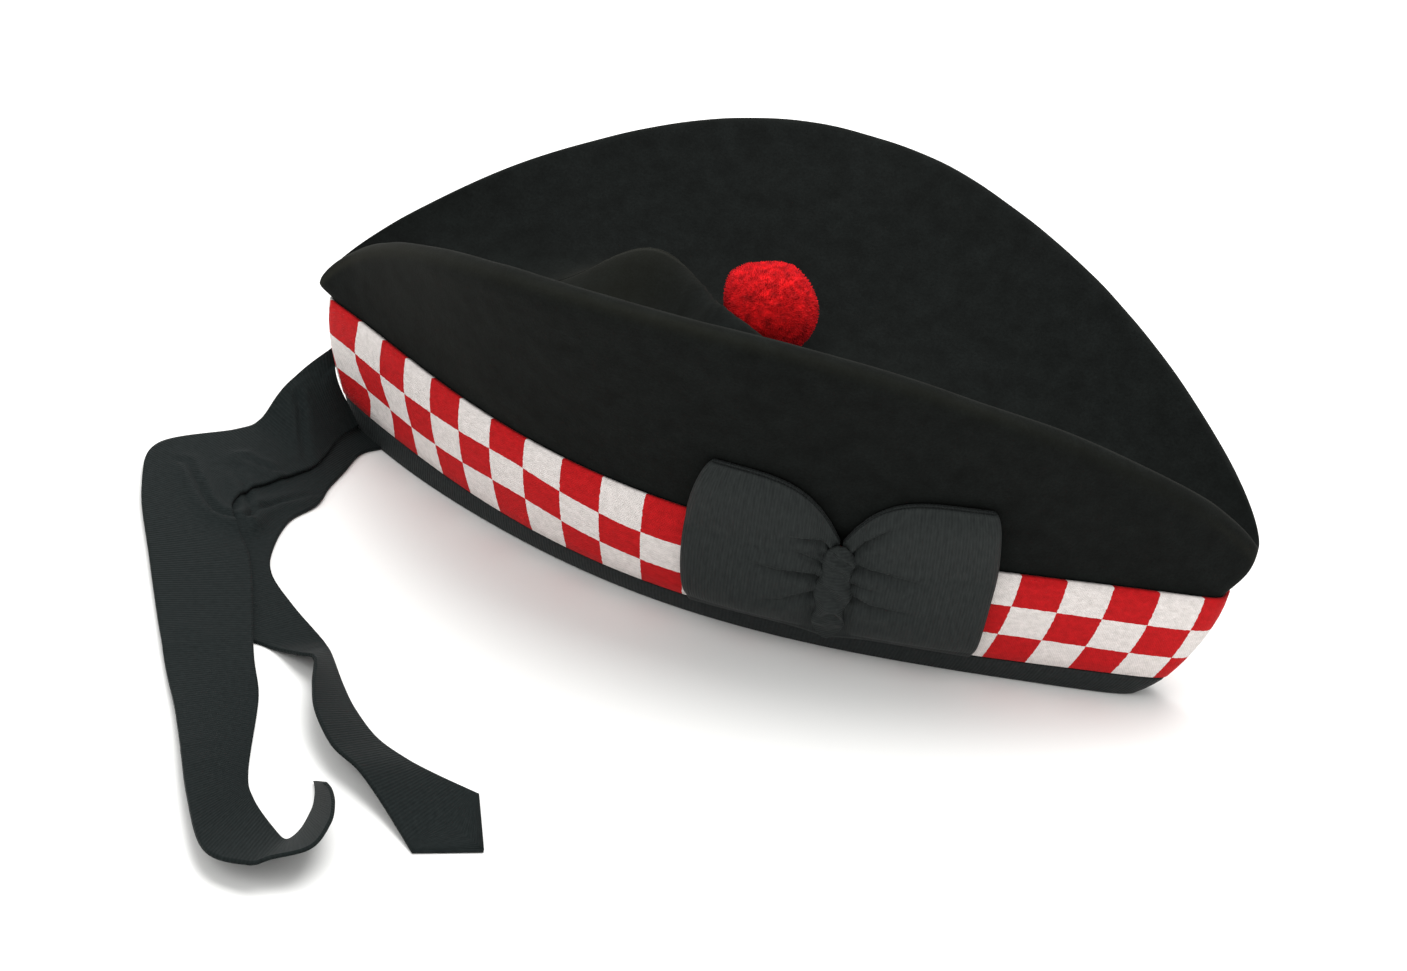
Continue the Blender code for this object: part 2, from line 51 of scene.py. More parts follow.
MM = 0.001
RIM_LENGTH = 234.7 * MM
RIM_WIDTH = 78.2 * MM
BAND_TOP_LENGTH = 262.8 * MM
BAND_TOP_WIDTH = 102.5 * MM
RIDGE_LENGTH = 273.0 * MM
RIDGE_WIDTH = 159.0 * MM
FRONT_SEAM_WIDTH = 21.0 * MM
BACK_SEAM_WIDTH = 13.6 * MM
RIDGE_SEAM_WIDTH = 12.2 * MM
REAR_FULLNESS = 0.195
RIDGE_REAR_FULLNESS = 0.259
SIDE_BLUNTNESS = (2.88, 2.88)
RIDGE_BLUNTNESS = (2.96, 1.96)
SIDE_FLARE = 1.77
RIDGE_ARCH = 1.5
RIDGE_HEIGHT = 100.9 * MM
FRONT_TIP_HEIGHT = 51.6 * MM
BACK_TIP_HEIGHT = 40.1 * MM
CROWN_DEPTH = 39.1 * MM
CROWN_ARCH = 1.7
CROWN_ROUNDING = 0.10
CROWN_STEEPNESS = 0.7
FOLD_RADIUS = 3.0 * MM
TIP_BULGE = 2.1 * MM
FELT = 2.5 * MM
CROWN_WALL = 1.15 * FELT
RIDGE_WALL = 1.2 * FELT
SEAM_GAP = 0.35 * MM
BINDING_HEIGHT = 6.4 * MM
BINDING_THICKNESS = 0.8 * MM
BAND_HEIGHT = 30.0 * MM
BAND_TOP = BINDING_HEIGHT + BAND_HEIGHT
TOORIE_DIAMETER = 25.8 * MM
TOORIE_PLACE = -5.4 * MM
DIMPLE_DEPTH = 1.5 * MM
POCKET_RADIUS = 15.0 * MM
RIDGE_SAG = 1.5 * MM
FELT_STATIONS = 144
CROWN_STATIONS = 40

# The felt's soft waves, each a length along the cloth and a height, and how far from the band and
# the toorie they begin and reach their full height
SOFT_WAVES = ((38 * MM, 0.9 * MM), (14 * MM, 0.18 * MM))
WAVES_FROM_TOORIE = 16 * MM
WAVES_EASE = 8 * MM

# Where the felt is painted paler: a round patch of painted light on the hump, and a line just under
# the near ridge's fold, nap wear with a painted highlight, that fades to the front
PATCH_RADIUS = 17 * MM
PATCH_PLACE = 6 * MM
PATCH_SHADE = 0.3
LINE_BELOW = 1.0 * MM
LINE_WIDTH = 1.7 * MM
LINE_SHADES = (0.5, 0.25)

# A place where the rim turns out of the side's line: its turn round the cap, its spread and how far
RimTurn = namedtuple("RimTurn", "turn spread out")
RIM_TURNS = (RimTurn(38, 24, 2.5 * MM), RimTurn(180, 20, -1.8 * MM))

# A line along the ridges' fold: its rise above the ridge and its place outside it, in fold radii
FoldLine = namedtuple("FoldLine", "rise out")
SHOULDER = FoldLine(-1.13, 0.33)
FOLD_TOP = (
    FoldLine(-0.75, 0.36), FoldLine(-0.35, 0.30), FoldLine(-0.12, 0.18),
    FoldLine(0.04, -0.05), FoldLine(0.12, -0.35), FoldLine(0.13, -0.65),
)
LIP = FoldLine(0.03, -1.17)

# A swell of spare cloth in the crown, in mm: its place along the cap and to the far side of its
# middle, its rise, its length and its width. They make a hump that runs on in front of the toorie
Swell = namedtuple("Swell", "place side rise length width")
SWELLS = (
    Swell(-46, 0, 16.5, 17, 12),
    Swell(-33, -1, 7.4, 12, 10),
    Swell(-28, -4.5, 2.2, 6, 7),
    Swell(-22.5, -10.4, 12.1, 8, 8),
    Swell(-16, -18.4, 10.1, 7, 8),
    Swell(-8, -24, 8.2, 8, 8),
    Swell(1, -27, 4.4, 9, 9),
    Swell(11, -31, 4.4, 10, 10),
)


def blend(start, end, share):
    """The value a share of the way from start to end."""
    return start + (end - start) * share


def limited(value, low=0.0):
    """A value kept between a lowest one and 1."""
    return max(low, min(1.0, value))


def sine_at(reach):
    """The share of its full width that a plain oval has at a reach along it."""
    return math.sqrt(max(0.0, 1 - reach * reach))


class Outline:
    """A long oval seen from above, fuller towards the back, with a blunt seam at each end."""

    def __init__(self, length, width, fullness, seams, powers):
        self.half_length = length / 2
        self.half_width = width / 2
        self.fullness = fullness
        self.seams = seams
        self.powers = powers

    def width_at(self, reach, out=0.0):
        """Half the width at a reach from -1, the back, to 1, the front, offset outward by out."""
        share = (1 + reach) / 2
        seam = blend(self.seams[0], self.seams[1], share) / 2
        power = blend(self.powers[0], self.powers[1], share)
        sine = sine_at(reach)
        body = (self.half_width - seam) * sine ** power * (1 - self.fullness * reach)
        return body + (seam + out) * math.sqrt(sine)

    def point(self, turn, out=0.0):
        """The point at a turn in degrees: 0 the back, 90 the near side, 180 the front."""
        reach = -math.cos(math.radians(turn))
        side = -1 if turn <= 180 else 1
        return (self.half_length + out) * reach, side * self.width_at(reach, out)


def side_outline(height):
    """The outline of the cap's side, which flares from the rim to the band's top edge."""
    share = 1 - (1 - min(height / BAND_TOP, 1.0)) ** SIDE_FLARE
    length = blend(RIM_LENGTH, BAND_TOP_LENGTH, share)
    width = blend(RIM_WIDTH, BAND_TOP_WIDTH, share)
    seams = (BACK_SEAM_WIDTH, FRONT_SEAM_WIDTH)
    return Outline(length, width, REAR_FULLNESS, seams, SIDE_BLUNTNESS)


RIDGE_SEAMS = (RIDGE_SEAM_WIDTH, RIDGE_SEAM_WIDTH)
RIDGE = Outline(RIDGE_LENGTH, RIDGE_WIDTH, RIDGE_REAR_FULLNESS, RIDGE_SEAMS, RIDGE_BLUNTNESS)


def ridge_height(reach):
    """Height of the two ridges at a reach along the cap."""
    tip = blend(BACK_TIP_HEIGHT, FRONT_TIP_HEIGHT, (1 + reach) / 2)
    return tip + (RIDGE_HEIGHT - tip) * sine_at(reach) ** RIDGE_ARCH


def roll_at(reach):
    """Radius of the fold along the ridges, which tightens towards the seams."""
    return min(FOLD_RADIUS, RIDGE.width_at(reach) / 5)


def swelling(swell, x, y):
    """How far a swell raises the crown at a point."""
    ahead = (x / MM - swell.place) / swell.length
    aside = (y / MM - swell.side) / swell.width
    return swell.rise * MM * math.exp(-ahead ** 2 - aside ** 2)


def trough(share):
    """How far up a trough's side climbs, from 0 at its rounded bottom to 1 at its edge."""
    low, here, high = (
        (place ** 2 + CROWN_ROUNDING ** 2) ** CROWN_STEEPNESS for place in (0, share, 1)
    )
    return (here - low) / (high - low)


def crown_height(x, y):
    """Height of the crown, a trough between the ridges with swells of cloth round the toorie."""
    reach = limited(x / RIDGE.half_length, -1.0)
    top = ridge_height(reach)
    edge = max(RIDGE.width_at(reach) + LIP.out * roll_at(reach), 1e-6)
    share = min(abs(y) / edge, 1.0)
    height = blend(top - CROWN_DEPTH * sine_at(reach) ** CROWN_ARCH, top, trough(share))
    away = math.hypot(x - TOORIE_PLACE, y)
    pocket = 1 - math.exp(-(away / POCKET_RADIUS) ** 4)
    dimple = DIMPLE_DEPTH * math.exp(-(away / (TOORIE_DIAMETER / 2)) ** 2)
    swells = pocket * sum(swelling(swell, x, y) for swell in SWELLS) - dimple
    return height + swells * (1 - share ** 2)


def turns():
    """The turns of the stations all the way round the cap."""
    return [180 * step / FELT_STATIONS for step in range(2 * FELT_STATIONS)]


def rim_turn(turn, height):
    """How far the rim turns out below the band, most at its lower edge."""
    lift = max(0.0, 1 - height / (BINDING_HEIGHT + SEAM_GAP))
    outs = [place.out * math.exp(-((turn - place.turn) / place.spread) ** 2) for place in RIM_TURNS]
    return lift * sum(outs)


def side_point(turn, height, out=0.0):
    """A point of the cap's side at a turn and a height, offset outward by out."""
    return Vector((*side_outline(height).point(turn, out + rim_turn(turn, height)), height))


def side_ring(height, out=0.0):
    """A closed ring of points round the cap's side at a height."""
    return [side_point(turn, height, out) for turn in turns()]


def ridge_ring(line):
    """A ring along a line of the ridges' fold."""
    ring = []
    for turn in turns():
        reach = -math.cos(math.radians(turn))
        x, y = RIDGE.point(turn)
        roll = roll_at(reach)
        width = max(abs(y) + line.out * roll, 0.0) if abs(y) > 1e-9 else 0.0
        ring.append(Vector((x, math.copysign(width, y), ridge_height(reach) + line.rise * roll)))
    return ring


def cheek_ring(share):
    """A ring a share of the way from the band's top edge to the fold, swelled at the two tips."""
    ring = between(side_ring(BAND_TOP), ridge_ring(SHOULDER), share)
    for point in ring:
        reach = point.x / RIDGE.half_length
        point.x += math.copysign(TIP_BULGE * math.sin(math.pi * share) * reach ** 12, reach)
    return ring


def between(first, second, share):
    """The ring a share of the way from one ring to another."""
    return [a.lerp(b, share) for a, b in zip(first, second)]


def crown_ring(edge, share, drop=0.0):
    """A ring on the crown, its width a share of the width of the edge ring."""
    return [Vector((p.x, p.y * share, crown_height(p.x, p.y * share) - drop)) for p in edge]


def put_in_scene(name, data):
    """An object made of its data, in the scene."""
    obj = bpy.data.objects.new(name, data)
    bpy.context.scene.collection.objects.link(obj)
    return obj


def make_mesh(name, points, faces):
    """A smooth mesh object from its points and faces."""
    mesh = bpy.data.meshes.new(name)
    mesh.from_pydata(points, [], faces)
    mesh.update()
    mesh.shade_smooth()
    return put_in_scene(name, mesh)


def tidy_mesh(obj):
    """Weld points that coincide and turn every face outward."""
    bm = bmesh.new()
    bm.from_mesh(obj.data)
    bmesh.ops.remove_doubles(bm, verts=bm.verts, dist=0.002 * MM)
    bmesh.ops.recalc_face_normals(bm, faces=bm.faces)
    bm.to_mesh(obj.data)
    bm.free()


def skin_rings(name, rings, capped=False):
    """Skin closed rings in order, the last one joined to the first, or both ends capped."""
    count = len(rings[0])
    points = [point for ring in rings for point in ring]
    faces = []
    for row in range(len(rings) - 1 if capped else len(rings)):
        after_row = (row + 1) % len(rings)
        for index in range(count):
            after = (index + 1) % count
            faces.append((
                row * count + index, row * count + after,
                after_row * count + after, after_row * count + index,
            ))
    if capped:
        faces.append(tuple(reversed(range(count))))
        faces.append(tuple(range(len(points) - count, len(points))))
    return make_mesh(name, points, faces)


def hex_colour(code):
    """An sRGB hex colour as linear red, green, blue and alpha."""
    values = [int(code[i:i + 2], 16) / 255 for i in (1, 3, 5)]
    linear = [v / 12.92 if v <= 0.04045 else ((v + 0.055) / 1.055) ** 2.4 for v in values]
    return (*linear, 1.0)


def new_finish(name, values):
    """A new finish and its shader, with the shader's values."""
    finish = bpy.data.materials.new(name)
    finish.use_nodes = True
    shader = finish.node_tree.nodes["Principled BSDF"]
    for key, value in values.items():
        shader.inputs[key].default_value = value
    return finish, shader


def add_node(finish, kind, settings=None, inputs=None):
    """Add a node: settings are its properties, inputs are values or the sockets that feed it."""
    node = finish.node_tree.nodes.new(kind)
    for name, value in (settings or {}).items():
        setattr(node, name, value)
    for name, value in (inputs or {}).items():
        if isinstance(value, bpy.types.NodeSocket):
            finish.node_tree.links.new(value, node.inputs[name])
        else:
            node.inputs[name].default_value = value
    return node


def feed_shader(finish, shader, colour, bump):
    """Link a colour's socket and a bump to the shader."""
    finish.node_tree.links.new(colour, shader.inputs["Base Color"])
    finish.node_tree.links.new(bump.outputs["Normal"], shader.inputs["Normal"])


def sag_at(place):
    """How far the near ridge has sunk under its own weight at a point, most in its middle."""
    reach = limited(place.x / RIDGE.half_length, -1.0)
    near = limited(-place.y / max(RIDGE.width_at(reach), MM))
    lift = limited((place.z - BAND_TOP) / max(ridge_height(reach) - BAND_TOP, MM))
    return RIDGE_SAG * near ** 3 * lift ** 2 * (1 - reach ** 4)


def wear_and_highlight_at(place):
    """Paleness at a point: painted light on the hump; nap wear and painted highlight under the
    fold.
    """
    reach = place.x / RIDGE.half_length
    away = Vector((place.x - SWELLS[0].place * MM, place.y + PATCH_PLACE)).length
    wear_and_highlight = PATCH_SHADE * math.exp(-(away / PATCH_RADIUS) ** 2)
    if abs(reach) < 1 and place.y < 0:
        aside = -place.y - RIDGE.width_at(reach)
        below = ridge_height(reach) - RIDGE_SAG - LINE_BELOW - place.z
        fade = blend(*LINE_SHADES, limited(reach + 0.3))
        wear_and_highlight += fade * math.exp(-(aside ** 2 + below ** 2) / LINE_WIDTH ** 2)
    return wear_and_highlight


def felt_finish():
    """Milled black wool felt: nearly flat black, faintly mottled, with painted light and nap wear
    paler in spots.
    """
    finish, shader = new_finish("milled_black_wool_felt", {
        "Roughness": 0.95, "Specular IOR Level": 0.08, "Sheen Weight": 0.035,
        "Sheen Roughness": 0.4, "Sheen Tint": hex_colour("#D8D4C0"),
    })
    place = add_node(finish, "ShaderNodeTexCoord")
    # Clumps of wool fibre about 6 mm across shade the dye
    clumps = add_node(finish, "ShaderNodeTexNoise", None, {
        "Vector": place.outputs["Object"], "Scale": 1 / (6 * MM), "Detail": 4.0, "Roughness": 0.6,
    })
    # The nap's fibres are 0.03 mm thick, drawn here at 0.7 mm so that they show
    nap = add_node(finish, "ShaderNodeTexNoise", None, {
        "Vector": place.outputs["Object"], "Scale": 1 / (0.7 * MM), "Detail": 3.0, "Roughness": 0.7,
    })
    mixed = add_node(finish, "ShaderNodeMath", {"operation": "MULTIPLY"}, {
        0: clumps.outputs["Fac"], 1: nap.outputs["Fac"],
    })
    shade = add_node(finish, "ShaderNodeValToRGB", None, {"Fac": mixed.outputs["Value"]})
    for end, spot, code in zip(shade.color_ramp.elements, (0.12, 0.42), ("#0A0C0B", "#141716")):
        end.position, end.color = spot, hex_colour(code)
    # The paler colour mixed in is painted light on the hump, and nap wear with a painted highlight
    # under the ridge
    wear_and_highlight = add_node(finish, "ShaderNodeAttribute", {"attribute_name": "wear_and_highlight"})
    worn_and_lit = add_node(finish, "ShaderNodeMix", {"data_type": "RGBA"}, {
        "Factor": wear_and_highlight.outputs["Fac"], 6: shade.outputs["Color"], 7: hex_colour("#26261F"),
    })
    bump = add_node(finish, "ShaderNodeBump", None, {
        "Strength": 0.35, "Distance": 0.25 * MM, "Height": nap.outputs["Fac"],
    })
    feed_shader(finish, shader, worn_and_lit.outputs[2], bump)
    return finish


def build_felt_cap():
    """The cap's shell, with soft unevenness pressed into the sides and the crown above the band."""
    foot = BINDING_THICKNESS + SEAM_GAP
    levels = [blend(foot, BAND_TOP, step / 8) for step in range(9)]
    outer = [side_ring(height) for height in levels]
    outer += [cheek_ring(step / 14) for step in range(1, 15)]
    outer += [ridge_ring(line) for line in FOLD_TOP]
    lip = ridge_ring(LIP)
    crown_shares = [1 - step / CROWN_STATIONS for step in range(CROWN_STATIONS + 1)]
    outer += [crown_ring(lip, share) for share in crown_shares]
    inner = [side_ring(height, -FELT) for height in levels]
    under = []
    for turn in turns():
        x, y = RIDGE.point(turn, -RIDGE_WALL)
        under.append(Vector((x, y, crown_height(x, y) - CROWN_WALL)))
    inner += [between(inner[-1], under, step / 10) for step in range(1, 10)]
    inner += [crown_ring(under, share, CROWN_WALL) for share in crown_shares]
    inner.reverse()
    cap = skin_rings("felt_shell", outer + inner)
    count = 2 * FELT_STATIONS
    free = cap.data.vertices[len(levels) * count:len(outer) * count]
    normals = [vertex.normal.copy() for vertex in free]
    for vertex, normal in zip(free, normals):
        place = vertex.co
        above = (place.z - BAND_TOP) / WAVES_EASE
        away = (Vector((place.x - TOORIE_PLACE, place.y)).length - WAVES_FROM_TOORIE) / WAVES_EASE
        ease = limited(above) * limited(away)
        soft = sum(noise.noise(place / length) * height for length, height in SOFT_WAVES)
        vertex.co = place + Vector((0.0, normal.y, normal.z)) * soft * ease
    for vertex in cap.data.vertices:
        vertex.co.z -= sag_at(vertex.co)
    tidy_mesh(cap)
    # Each point's paleness: painted light on the hump, nap wear with a painted highlight under the
    # near ridge
    wear_and_highlight = cap.data.attributes.new("wear_and_highlight", 'FLOAT', 'POINT')
    for vertex in cap.data.vertices:
        wear_and_highlight.data[vertex.index].value = wear_and_highlight_at(vertex.co)
    cap.data.materials.append(felt_finish())
    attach(cap, "root")
    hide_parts("felt_cap")


build_felt_cap()


# Diced band
# A wool strip woven in three rows of red and white checks, sewn on flat all round the side, with
# its join at the back seam under the tails. It was pulled a little here and there as it was sewn.

BAND_THICKNESS = 1.0 * MM
CHECK_ROWS = 3
CHECKS_A_SIDE = 22.8
FIRST_CHECK = 0.17
CHECK_MARGIN = 0.03
YARN_WANDER = 0.05
THREADS_ALONG = 18
THREADS_UP = 14

# How much higher the binding's edge comes over the strip at the back and at the front, and how many
# degrees round the cap that reaches
COVER_BACK, BACK_SPREAD = 2.6 * MM, 22
COVER_FRONT, FRONT_SPREAD = 1.5 * MM, 50

# A place where the strip was pulled as it was sewn on: the checks along the near side and up to it,
# how many checks the weave moved there to the back and down, and how far the pull reaches each way
Pull = namedtuple("Pull", "along up back down length height")
PULLS = (
    Pull(1.3, 2.9, -0.20, 0, 1.3, 0.8),
    Pull(1.5, 0.8, -0.42, -0.12, 1.4, 0.7),
    Pull(2.5, 2, 0, 0.13, 2, 3),
    Pull(6.6, 2, 0, -0.12, 1.2, 3),
    Pull(10.3, 2, 0, 0.23, 2, 3),
    Pull(20, 3, 0.08, 0, 3.5, 1.6),
    Pull(21, 2, 0, 0.08, 2, 3),
    Pull(22.8, 2.5, 0.15, 0, 1, 2),
)


def distances(line):
    """Distance along a line of points from its first point to each of them."""
    run = [0.0]
    for first, second in zip(line, line[1:]):
        run.append(run[-1] + (second - first).length)
    return run


def side_lengths(height, out):
    """Distance along the side from the back seam to each station, as a share of one whole side."""
    ring = side_ring(height, out)
    run = distances(ring + ring[:1])
    return [distance / run[FELT_STATIONS] for distance in run]


def covered(turn):
    """How much higher the binding's edge comes over the strip at a turn round the cap."""
    side = 180 - abs(180 - turn)
    back = COVER_BACK * math.exp(-(side / BACK_SPREAD) ** 2)
    return back + COVER_FRONT * math.exp(-((180 - side) / FRONT_SPREAD) ** 2)


def pulled(along, up):
    """A place in the checks after the strip's pulls, which fade at its top edge."""
    hold = min(1.0, CHECK_ROWS - up)
    back = down = 0.0
    for pull in PULLS:
        ahead, above = (along - pull.along) / pull.length, (up - pull.up) / pull.height
        reach = math.exp(-ahead ** 2 - above ** 2)
        back += pull.back * reach
        down += pull.down * reach * hold
    return along + back, min(max(up + down, CHECK_MARGIN), CHECK_ROWS - CHECK_MARGIN)


def set_uv(obj, name, coordinate):
    """Give each corner of each face a flat coordinate, worked out from the face and the point."""
    layer = obj.data.uv_layers.new(name=name)
    for polygon in obj.data.polygons:
        for loop in polygon.loop_indices:
            vertex = obj.data.loops[loop].vertex_index
            layer.data[loop].uv = coordinate(polygon.index, vertex)


def ring_place(face_index, vertex):
    """Row and station of a face's corner; a ring's last face ends at a station of its own."""
    count = 2 * FELT_STATIONS
    row, station = divmod(vertex, count)
    if station == 0 and face_index % count == count - 1:
        station = count
    return row, station


def dicing_finish():
    """Worsted yarn woven in checks: bright red and off-white, matt, with a fine thread pattern."""
    finish, shader = new_finish("woven_worsted_dicing", {
        "Roughness": 0.8, "Specular IOR Level": 0.15, "Sheen Weight": 0.02,
    })
    place = add_node(finish, "ShaderNodeUVMap", {"uv_map": "checks"})
    # The yarn wanders about 0.1 mm, so that the edges of the checks aren't ruled
    wander = add_node(finish, "ShaderNodeTexNoise", None, {
        "Vector": place.outputs["UV"], "Scale": 9.0, "Detail": 2.0,
    })
    shift = add_node(finish, "ShaderNodeVectorMath", {"operation": "MULTIPLY_ADD"}, {
        0: wander.outputs["Color"], 1: (YARN_WANDER, YARN_WANDER, 0.0), 2: place.outputs["UV"],
    })
    centre = add_node(finish, "ShaderNodeVectorMath", {"operation": "SUBTRACT"}, {
        0: shift.outputs["Vector"], 1: (YARN_WANDER / 2, YARN_WANDER / 2, 0.0),
    })
    axes = add_node(finish, "ShaderNodeSeparateXYZ", None, {"Vector": centre.outputs["Vector"]})
    # The threads are 0.35 mm apart, drawn at about 0.7 mm so that they show
    cells, waves = [], []
    for axis, threads in (("X", THREADS_ALONG), ("Y", THREADS_UP)):
        cell = add_node(finish, "ShaderNodeMath", {"operation": "FLOOR"}, {0: axes.outputs[axis]})
        cells.append(cell.outputs["Value"])
        turn = add_node(finish, "ShaderNodeMath", {"operation": "MULTIPLY"}, {
            0: axes.outputs[axis], 1: threads * 2 * math.pi,
        })
        wave = add_node(finish, "ShaderNodeMath", {"operation": "SINE"}, {0: turn.outputs["Value"]})
        waves.append(wave.outputs["Value"])
    total = add_node(finish, "ShaderNodeMath", {"operation": "ADD"}, {0: cells[0], 1: cells[1]})
    parity = add_node(finish, "ShaderNodeMath", {"operation": "FLOORED_MODULO"}, {
        0: total.outputs["Value"], 1: 2.0,
    })
    weave = add_node(finish, "ShaderNodeMath", {"operation": "MULTIPLY"}, {
        0: waves[0], 1: waves[1],
    })
    # The dye takes unevenly over about 2 mm of yarn
    mottle = add_node(finish, "ShaderNodeTexNoise", None, {
        "Vector": place.outputs["UV"], "Scale": 6.0, "Detail": 5.0, "Roughness": 0.75,
    })
    tone = add_node(finish, "ShaderNodeMath", {"operation": "MULTIPLY_ADD"}, {
        0: weave.outputs["Value"], 1: 0.12, 2: mottle.outputs["Fac"],
    })
    yarns = []
    for low_code, high_code in (("#A00A0E", "#C6141A"), ("#CBC5C1", "#ECE5E2")):
        yarn = add_node(finish, "ShaderNodeValToRGB", None, {"Fac": tone.outputs["Value"]})
        for end, spot, code in zip(yarn.color_ramp.elements, (0.3, 0.7), (low_code, high_code)):
            end.position, end.color = spot, hex_colour(code)
        yarns.append(yarn.outputs["Color"])
    colour = add_node(finish, "ShaderNodeMix", {"data_type": "RGBA"}, {
        "Factor": parity.outputs["Value"], 6: yarns[0], 7: yarns[1],
    })
    bump = add_node(finish, "ShaderNodeBump", None, {
        "Strength": 0.4, "Distance": 0.12 * MM, "Height": weave.outputs["Value"],
    })
    feed_shader(finish, shader, colour.outputs[2], bump)
    return finish


def build_band():
    """The strip round the side, its edges a little rounded, its points placed in the checks."""
    low = BINDING_HEIGHT + SEAM_GAP
    face = SEAM_GAP + BAND_THICKNESS
    edge = face - 0.35 * BAND_THICKNESS
    rounding, puff = 0.2 * MM, 0.06 * MM
    steps = 9
    profile = [(low, SEAM_GAP), (low, edge)]
    for step in range(steps + 1):
        height = blend(low + rounding, BAND_TOP - rounding, step / steps)
        profile.append((height, face + puff * math.sin(math.pi * step / steps * CHECK_ROWS) ** 2))
    profile += [(BAND_TOP, edge), (BAND_TOP, SEAM_GAP)]
    profile += [(blend(BAND_TOP, low, step / 6), SEAM_GAP) for step in range(1, 6)]
    rings = []
    for height, out in profile:
        share = (BAND_TOP - height) / (BAND_TOP - low)
        rings.append([side_point(turn, height + covered(turn) * share, out) for turn in turns()])
    band = skin_rings("checked_band", rings)
    runs = [side_lengths(height, out) for height, out in profile]

    def place_in_checks(face_index, vertex):
        row, station = ring_place(face_index, vertex)
        along = runs[row][station] * CHECKS_A_SIDE - FIRST_CHECK
        up = (band.data.vertices[vertex].co.z - low) / (BAND_TOP - low) * CHECK_ROWS
        return pulled(along, up)

    set_uv(band, "checks", place_in_checks)
    band.data.materials.append(dicing_finish())
    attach(band, "root")
    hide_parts("diced_band")


build_band()


# Rim binding
# A black grosgrain ribbon folded over the felt's lower edge and sewn through. Its ribs run up and
# down, and its fold is rounded where the cap stands on it.

RIB = 0.9 * MM
ROUNDING = 0.8 * MM

# The outer leg: heights, and how far its face stands out or in there
OUTER_LEG = (
    (2.4 * MM, 0.18 * MM), (4.2 * MM, 0.16 * MM), (5.6 * MM, 0.0), (BINDING_HEIGHT, -0.15 * MM),
)


def ribbon_finish(name, low_code, high_code, gloss):
    """Grosgrain: close cords across a dull silky ribbon, darker between the cords."""
    finish, shader = new_finish(name, {
        "Roughness": 0.62, "Specular IOR Level": gloss, "Sheen Weight": 0.03,
        "Sheen Roughness": 0.4,
    })
    place = add_node(finish, "ShaderNodeUVMap", {"uv_map": "ribs"})
    axes = add_node(finish, "ShaderNodeSeparateXYZ", None, {"Vector": place.outputs["UV"]})
    turn = add_node(finish, "ShaderNodeMath", {"operation": "MULTIPLY"}, {
        0: axes.outputs["X"], 1: 2 * math.pi,
    })
    cords = add_node(finish, "ShaderNodeMath", {"operation": "SINE"}, {0: turn.outputs["Value"]})
    fibre = add_node(finish, "ShaderNodeTexNoise", None, {
        "Vector": place.outputs["UV"], "Scale": 0.8, "Detail": 5.0, "Roughness": 0.65,
    })
    tone = add_node(finish, "ShaderNodeMath", {"operation": "MULTIPLY_ADD"}, {
        0: cords.outputs["Value"], 1: 0.08, 2: fibre.outputs["Fac"],
    })
    shade = add_node(finish, "ShaderNodeValToRGB", None, {"Fac": tone.outputs["Value"]})
    for end, spot, code in zip(shade.color_ramp.elements, (0.25, 0.75), (low_code, high_code)):
        end.position, end.color = spot, hex_colour(code)
    bump = add_node(finish, "ShaderNodeBump", None, {
        "Strength": 0.3, "Distance": 0.14 * MM, "Height": cords.outputs["Value"],
    })
    feed_shader(finish, shader, shade.outputs["Color"], bump)
    return finish


def build_binding():
    """The folded ribbon, a U in section, its outer leg a little puffed over the fold."""
    out_face = SEAM_GAP + BINDING_THICKNESS
    in_face = FELT + SEAM_GAP + BINDING_THICKNESS
    profile = []
    for step in range(5):
        turn = math.pi / 2 * step / 4
        out = out_face - ROUNDING + ROUNDING * math.sin(turn)
        profile.append((ROUNDING - ROUNDING * math.cos(turn), out))
    profile += [(height, out_face + puff) for height, puff in OUTER_LEG]
    profile += [
        (BINDING_HEIGHT, SEAM_GAP), (BINDING_THICKNESS, SEAM_GAP),
        (BINDING_THICKNESS, -FELT - SEAM_GAP), (BINDING_HEIGHT, -FELT - SEAM_GAP),
        (BINDING_HEIGHT, -in_face),
    ]
    for step in range(4):
        turn = math.pi / 2 * step / 3
        out = -in_face + ROUNDING - ROUNDING * math.cos(turn)
        profile.append((ROUNDING - ROUNDING * math.sin(turn), out))
    rings = []
    for height, out in profile:
        share = (height / BINDING_HEIGHT) ** 2 if out > 0 else 0.0
        rings.append([side_point(turn, height + covered(turn) * share, out) for turn in turns()])
    binding = skin_rings("folded_binding", rings)
    run = side_lengths(BINDING_HEIGHT, out_face)
    side_length = math.pi / 2 * (RIM_LENGTH + RIM_WIDTH) / 2

    def place_in_ribs(face_index, vertex):
        row, station = ring_place(face_index, vertex)
        return run[station] * side_length / RIB, profile[row][0] / RIB

    set_uv(binding, "ribs", place_in_ribs)
    # The binding's colours are made lighter as painted light, the light that the table throws up
    # onto it
    finish = ribbon_finish("black_grosgrain_binding", "#161919", "#282C2C", 0.15)
    binding.data.materials.append(finish)
    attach(binding, "root")
    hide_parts("rim_binding")


build_binding()


# Toorie
# A round tuft of cut red wool yarn, clipped close like velvet and stitched down in the crown. A
# core with a lumpy surface carries thousands of short yarn ends.

YARN_ENDS = 9000
YARN_THICKNESS = 0.30 * MM
YARN_LENGTH = 2.4 * MM
YARN_TAPER = 0.75
CORE_LUMPS = 0.2 * MM
CORE_DEPTH = 0.22 * YARN_LENGTH
TUFT_SPREAD = 0.09
TOORIE_LEAN = Vector((1.2 * MM, 0, 0.4 * MM))

# A yarn end is a prism: three points round its root, then three round its tip
YARN_FACES = ((0, 1, 4, 3), (1, 2, 5, 4), (2, 0, 3, 5), (3, 4, 5), (2, 1, 0))

